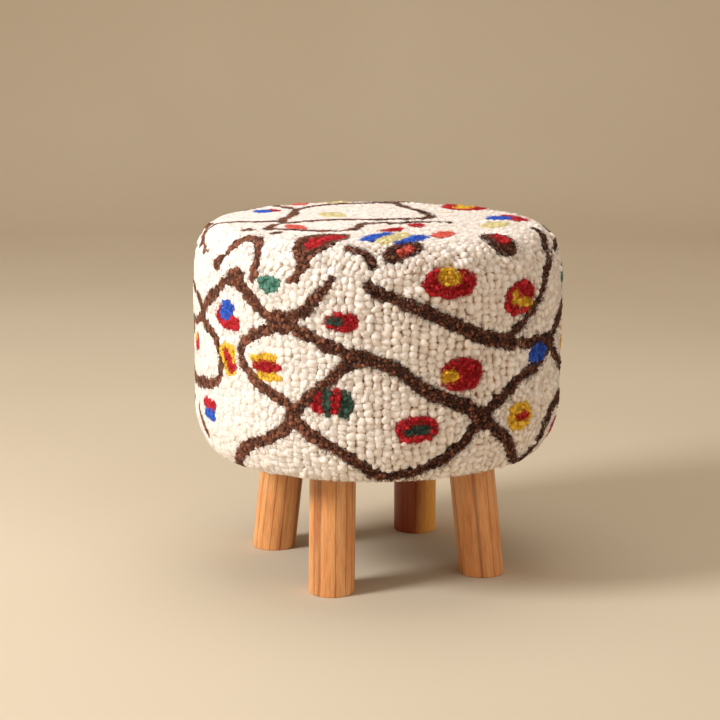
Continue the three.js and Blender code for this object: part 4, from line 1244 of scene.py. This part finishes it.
def makeDustCover():
    # Height is a dished profile of the radius, less a sag that dies out at the rim and the openings, plus
    # faint radial puckers near the staples. Cells inside an opening are left out, and the points
    # round it are drawn onto its edge.
    step, sides = dust["step"], dust["sides"]
    radii = np.concatenate([[dust["hole"]], np.arange(step, dust["lastStep"], step) * mm, dust["rim"]])
    around = np.linspace(0, fullTurn, sides, endpoint=False)
    r, a = np.meshgrid(radii, around, indexing="ij")
    x, y = r * np.cos(a), r * np.sin(a)
    turn, half = math.radians(leg["splayTurn"]), dust["opening"] / 2
    away = np.full(x.shape, np.inf)
    for azimuth in np.radians([45, 135, 225, 315]):
        middle = leg["circle"] * np.array([math.cos(azimuth), math.sin(azimuth)])
        c, s = math.cos(azimuth + turn), math.sin(azimuth + turn)
        u, v = (x - middle[0]) * c + (y - middle[1]) * s, (y - middle[1]) * c - (x - middle[0]) * s
        farther = np.maximum(np.abs(u), np.abs(v))
        outside = farther - half
        near = np.abs(outside) < dust["edgeReach"]
        scale = half / farther
        u, v = np.where(near, u * scale, u), np.where(near, v * scale, v)
        x, y = middle[0] + u * c - v * s, middle[1] + v * c + u * s
        away = np.minimum(away, np.where(near, 0, outside))
    r = np.hypot(x, y)
    heights = [dust["top"] - dust["middleDepth"], dust["rimTop"] - dust["middleDepth"]]
    z = np.interp(r, [dust["fold"], dust["rimInner"]], heights)
    flat, rimReach, openingReach = dust["taut"]
    calm = np.clip((dust["fold"] - flat - r) / rimReach, 0, 1) * np.clip(away / openingReach, 0, 1)
    z = z - dust["sag"] * calm * (0.75 + 0.25 * np.sin(a * 4) * r / dust["radius"])
    z = z - dust["pucker"] * np.clip(calm * 3, 0, 1) * (1 + np.sin(a * 36 + 6 * np.sin(a * 5)))
    faces = gridFaces(len(radii), sides)
    level = away.ravel()[faces]
    faces = faces[(level.max(1) > 1e-9) & (level.min(1) > -1e-9)]
    middle = fan(0, x.size, sides)[:, [1, 0, 2]]
    points = np.concatenate([np.stack([x, y, z], -1).reshape(-1, 3), [[0, 0, z[0].mean()]]])
    used = np.unique(np.concatenate([faces.ravel(), middle.ravel()]))
    order = np.zeros(len(points), int)
    order[used] = np.arange(len(used))
    piece = newPiece("dustCover", points[used], [order[middle], order[faces]], spunCambric())
    wall = piece.modifiers.new("thickness", "SOLIDIFY")
    wall.thickness, wall.offset = dust["thickness"], 0
    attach(piece, "root")
    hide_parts("dust_cover")


makeDustCover()
print("dust cover stretched")


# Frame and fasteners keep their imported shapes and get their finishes

hidden = {
    "zinc": [(0.3, "#a9adb0"), (0.7, "#c6c9cb")], "zincCloud": 4 * mm,
    "birch": ("#c29c68", "#d2b07e", "#dcc093"), "birchLines": 14 * mm,
    "pine": ("#c79a5c", "#ddb97f", "#e8cb98"), "pineLines": 6 * mm,
    "streak": 1.2 * mm, "lineDepth": 0.15 * mm,  # in both woods
    "hardboard": [(0.3, "#6d4a2c"), (0.7, "#9a7148")], "fleck": 1.5 * mm,
}


def zincPlate():  # mild steel, zinc plated and rolled in a barrel: pale, satin, slightly cloudy
    material, tree, shader = newMaterial("zincPlatedSteel", Metallic=1.0)
    place = addNode(tree, "ShaderNodeTexCoord").outputs["Object"]
    cloud = addNode(tree, "ShaderNodeTexNoise",
                    {"Vector": place, "Scale": 1 / hidden["zincCloud"], "Detail": 3})
    tone = addNode(tree, "ShaderNodeValToRGB", {"Fac": cloud.outputs["Fac"]}, stops=hidden["zinc"])
    gloss = addNode(tree, "ShaderNodeMapRange", {"Value": cloud.outputs["Fac"], 3: 0.26, 4: 0.44})
    feed(shader, Base_Color=tone.outputs["Color"], Roughness=gloss.outputs[0])
    return material


def frameWood(name, roughness, across, tones, spacing, stretch):
    # sawn or peeled wood: growth lines drawn out along one axis, with a finer streak in them
    material, tree, shader = newMaterial(name, Roughness=roughness)
    place = addNode(tree, "ShaderNodeTexCoord").outputs["Object"]
    drawn = addNode(tree, "ShaderNodeMapping", {"Vector": place, "Scale": stretch}).outputs[0]
    lines = addNode(tree, "ShaderNodeTexWave",
                    {"Vector": drawn, "Scale": wavePeriod / spacing, "Distortion": 5, "Detail": 3,
                     "Detail Scale": 0.7}, wave_type="BANDS", bands_direction=across)
    streak = addNode(tree, "ShaderNodeTexNoise",
                     {"Vector": drawn, "Scale": 1 / hidden["streak"], "Detail": 3})
    both = addNode(tree, "ShaderNodeMath", {0: lines.outputs["Fac"], 1: streak.outputs["Fac"]},
                   operation="MULTIPLY")
    toneAndBump(tree, shader, both.outputs[0], list(zip((0.05, 0.3, 0.7), tones)), hidden["lineDepth"], 0.5)
    return material


def pressedHardboard():  # wood fibre pressed hot against a smooth plate: brown, flecked, faintly shiny
    material, tree, shader = newMaterial("pressedHardboard", Roughness=0.55)
    place = addNode(tree, "ShaderNodeTexCoord").outputs["Object"]
    fleck = addNode(tree, "ShaderNodeTexNoise",
                    {"Vector": place, "Scale": 1 / hidden["fleck"], "Detail": 5, "Roughness": 0.75})
    tone = addNode(tree, "ShaderNodeValToRGB", {"Fac": fleck.outputs["Fac"]}, stops=hidden["hardboard"])
    feed(shader, Base_Color=tone.outputs["Color"])
    return material


def finishFrame():
    steel = zincPlate()
    birch = frameWood("birchPlywood", 0.6, "Y", hidden["birch"], hidden["birchLines"], (0.08, 1, 1))
    pine = frameWood("sawnPine", 0.7, "X", hidden["pine"], hidden["pineLines"], (1, 1, 0.06))
    hardboard = pressedHardboard()
    finishes = {"base_board": birch, "top_board": birch, "frame_post": pine, "side_shell": hardboard}
    for stem in ("hanger_bolt", "leg_plate", "leg_screw", "top_post_screw", "base_post_screw",
                 "cover_staple", "dust_cover_staple"):
        finishes[stem] = steel
    for name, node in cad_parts.items():
        for stem, finish in finishes.items():
            if name.startswith(stem):
                node.material_slots[0].material = finish


finishFrame()
print("frame finished")
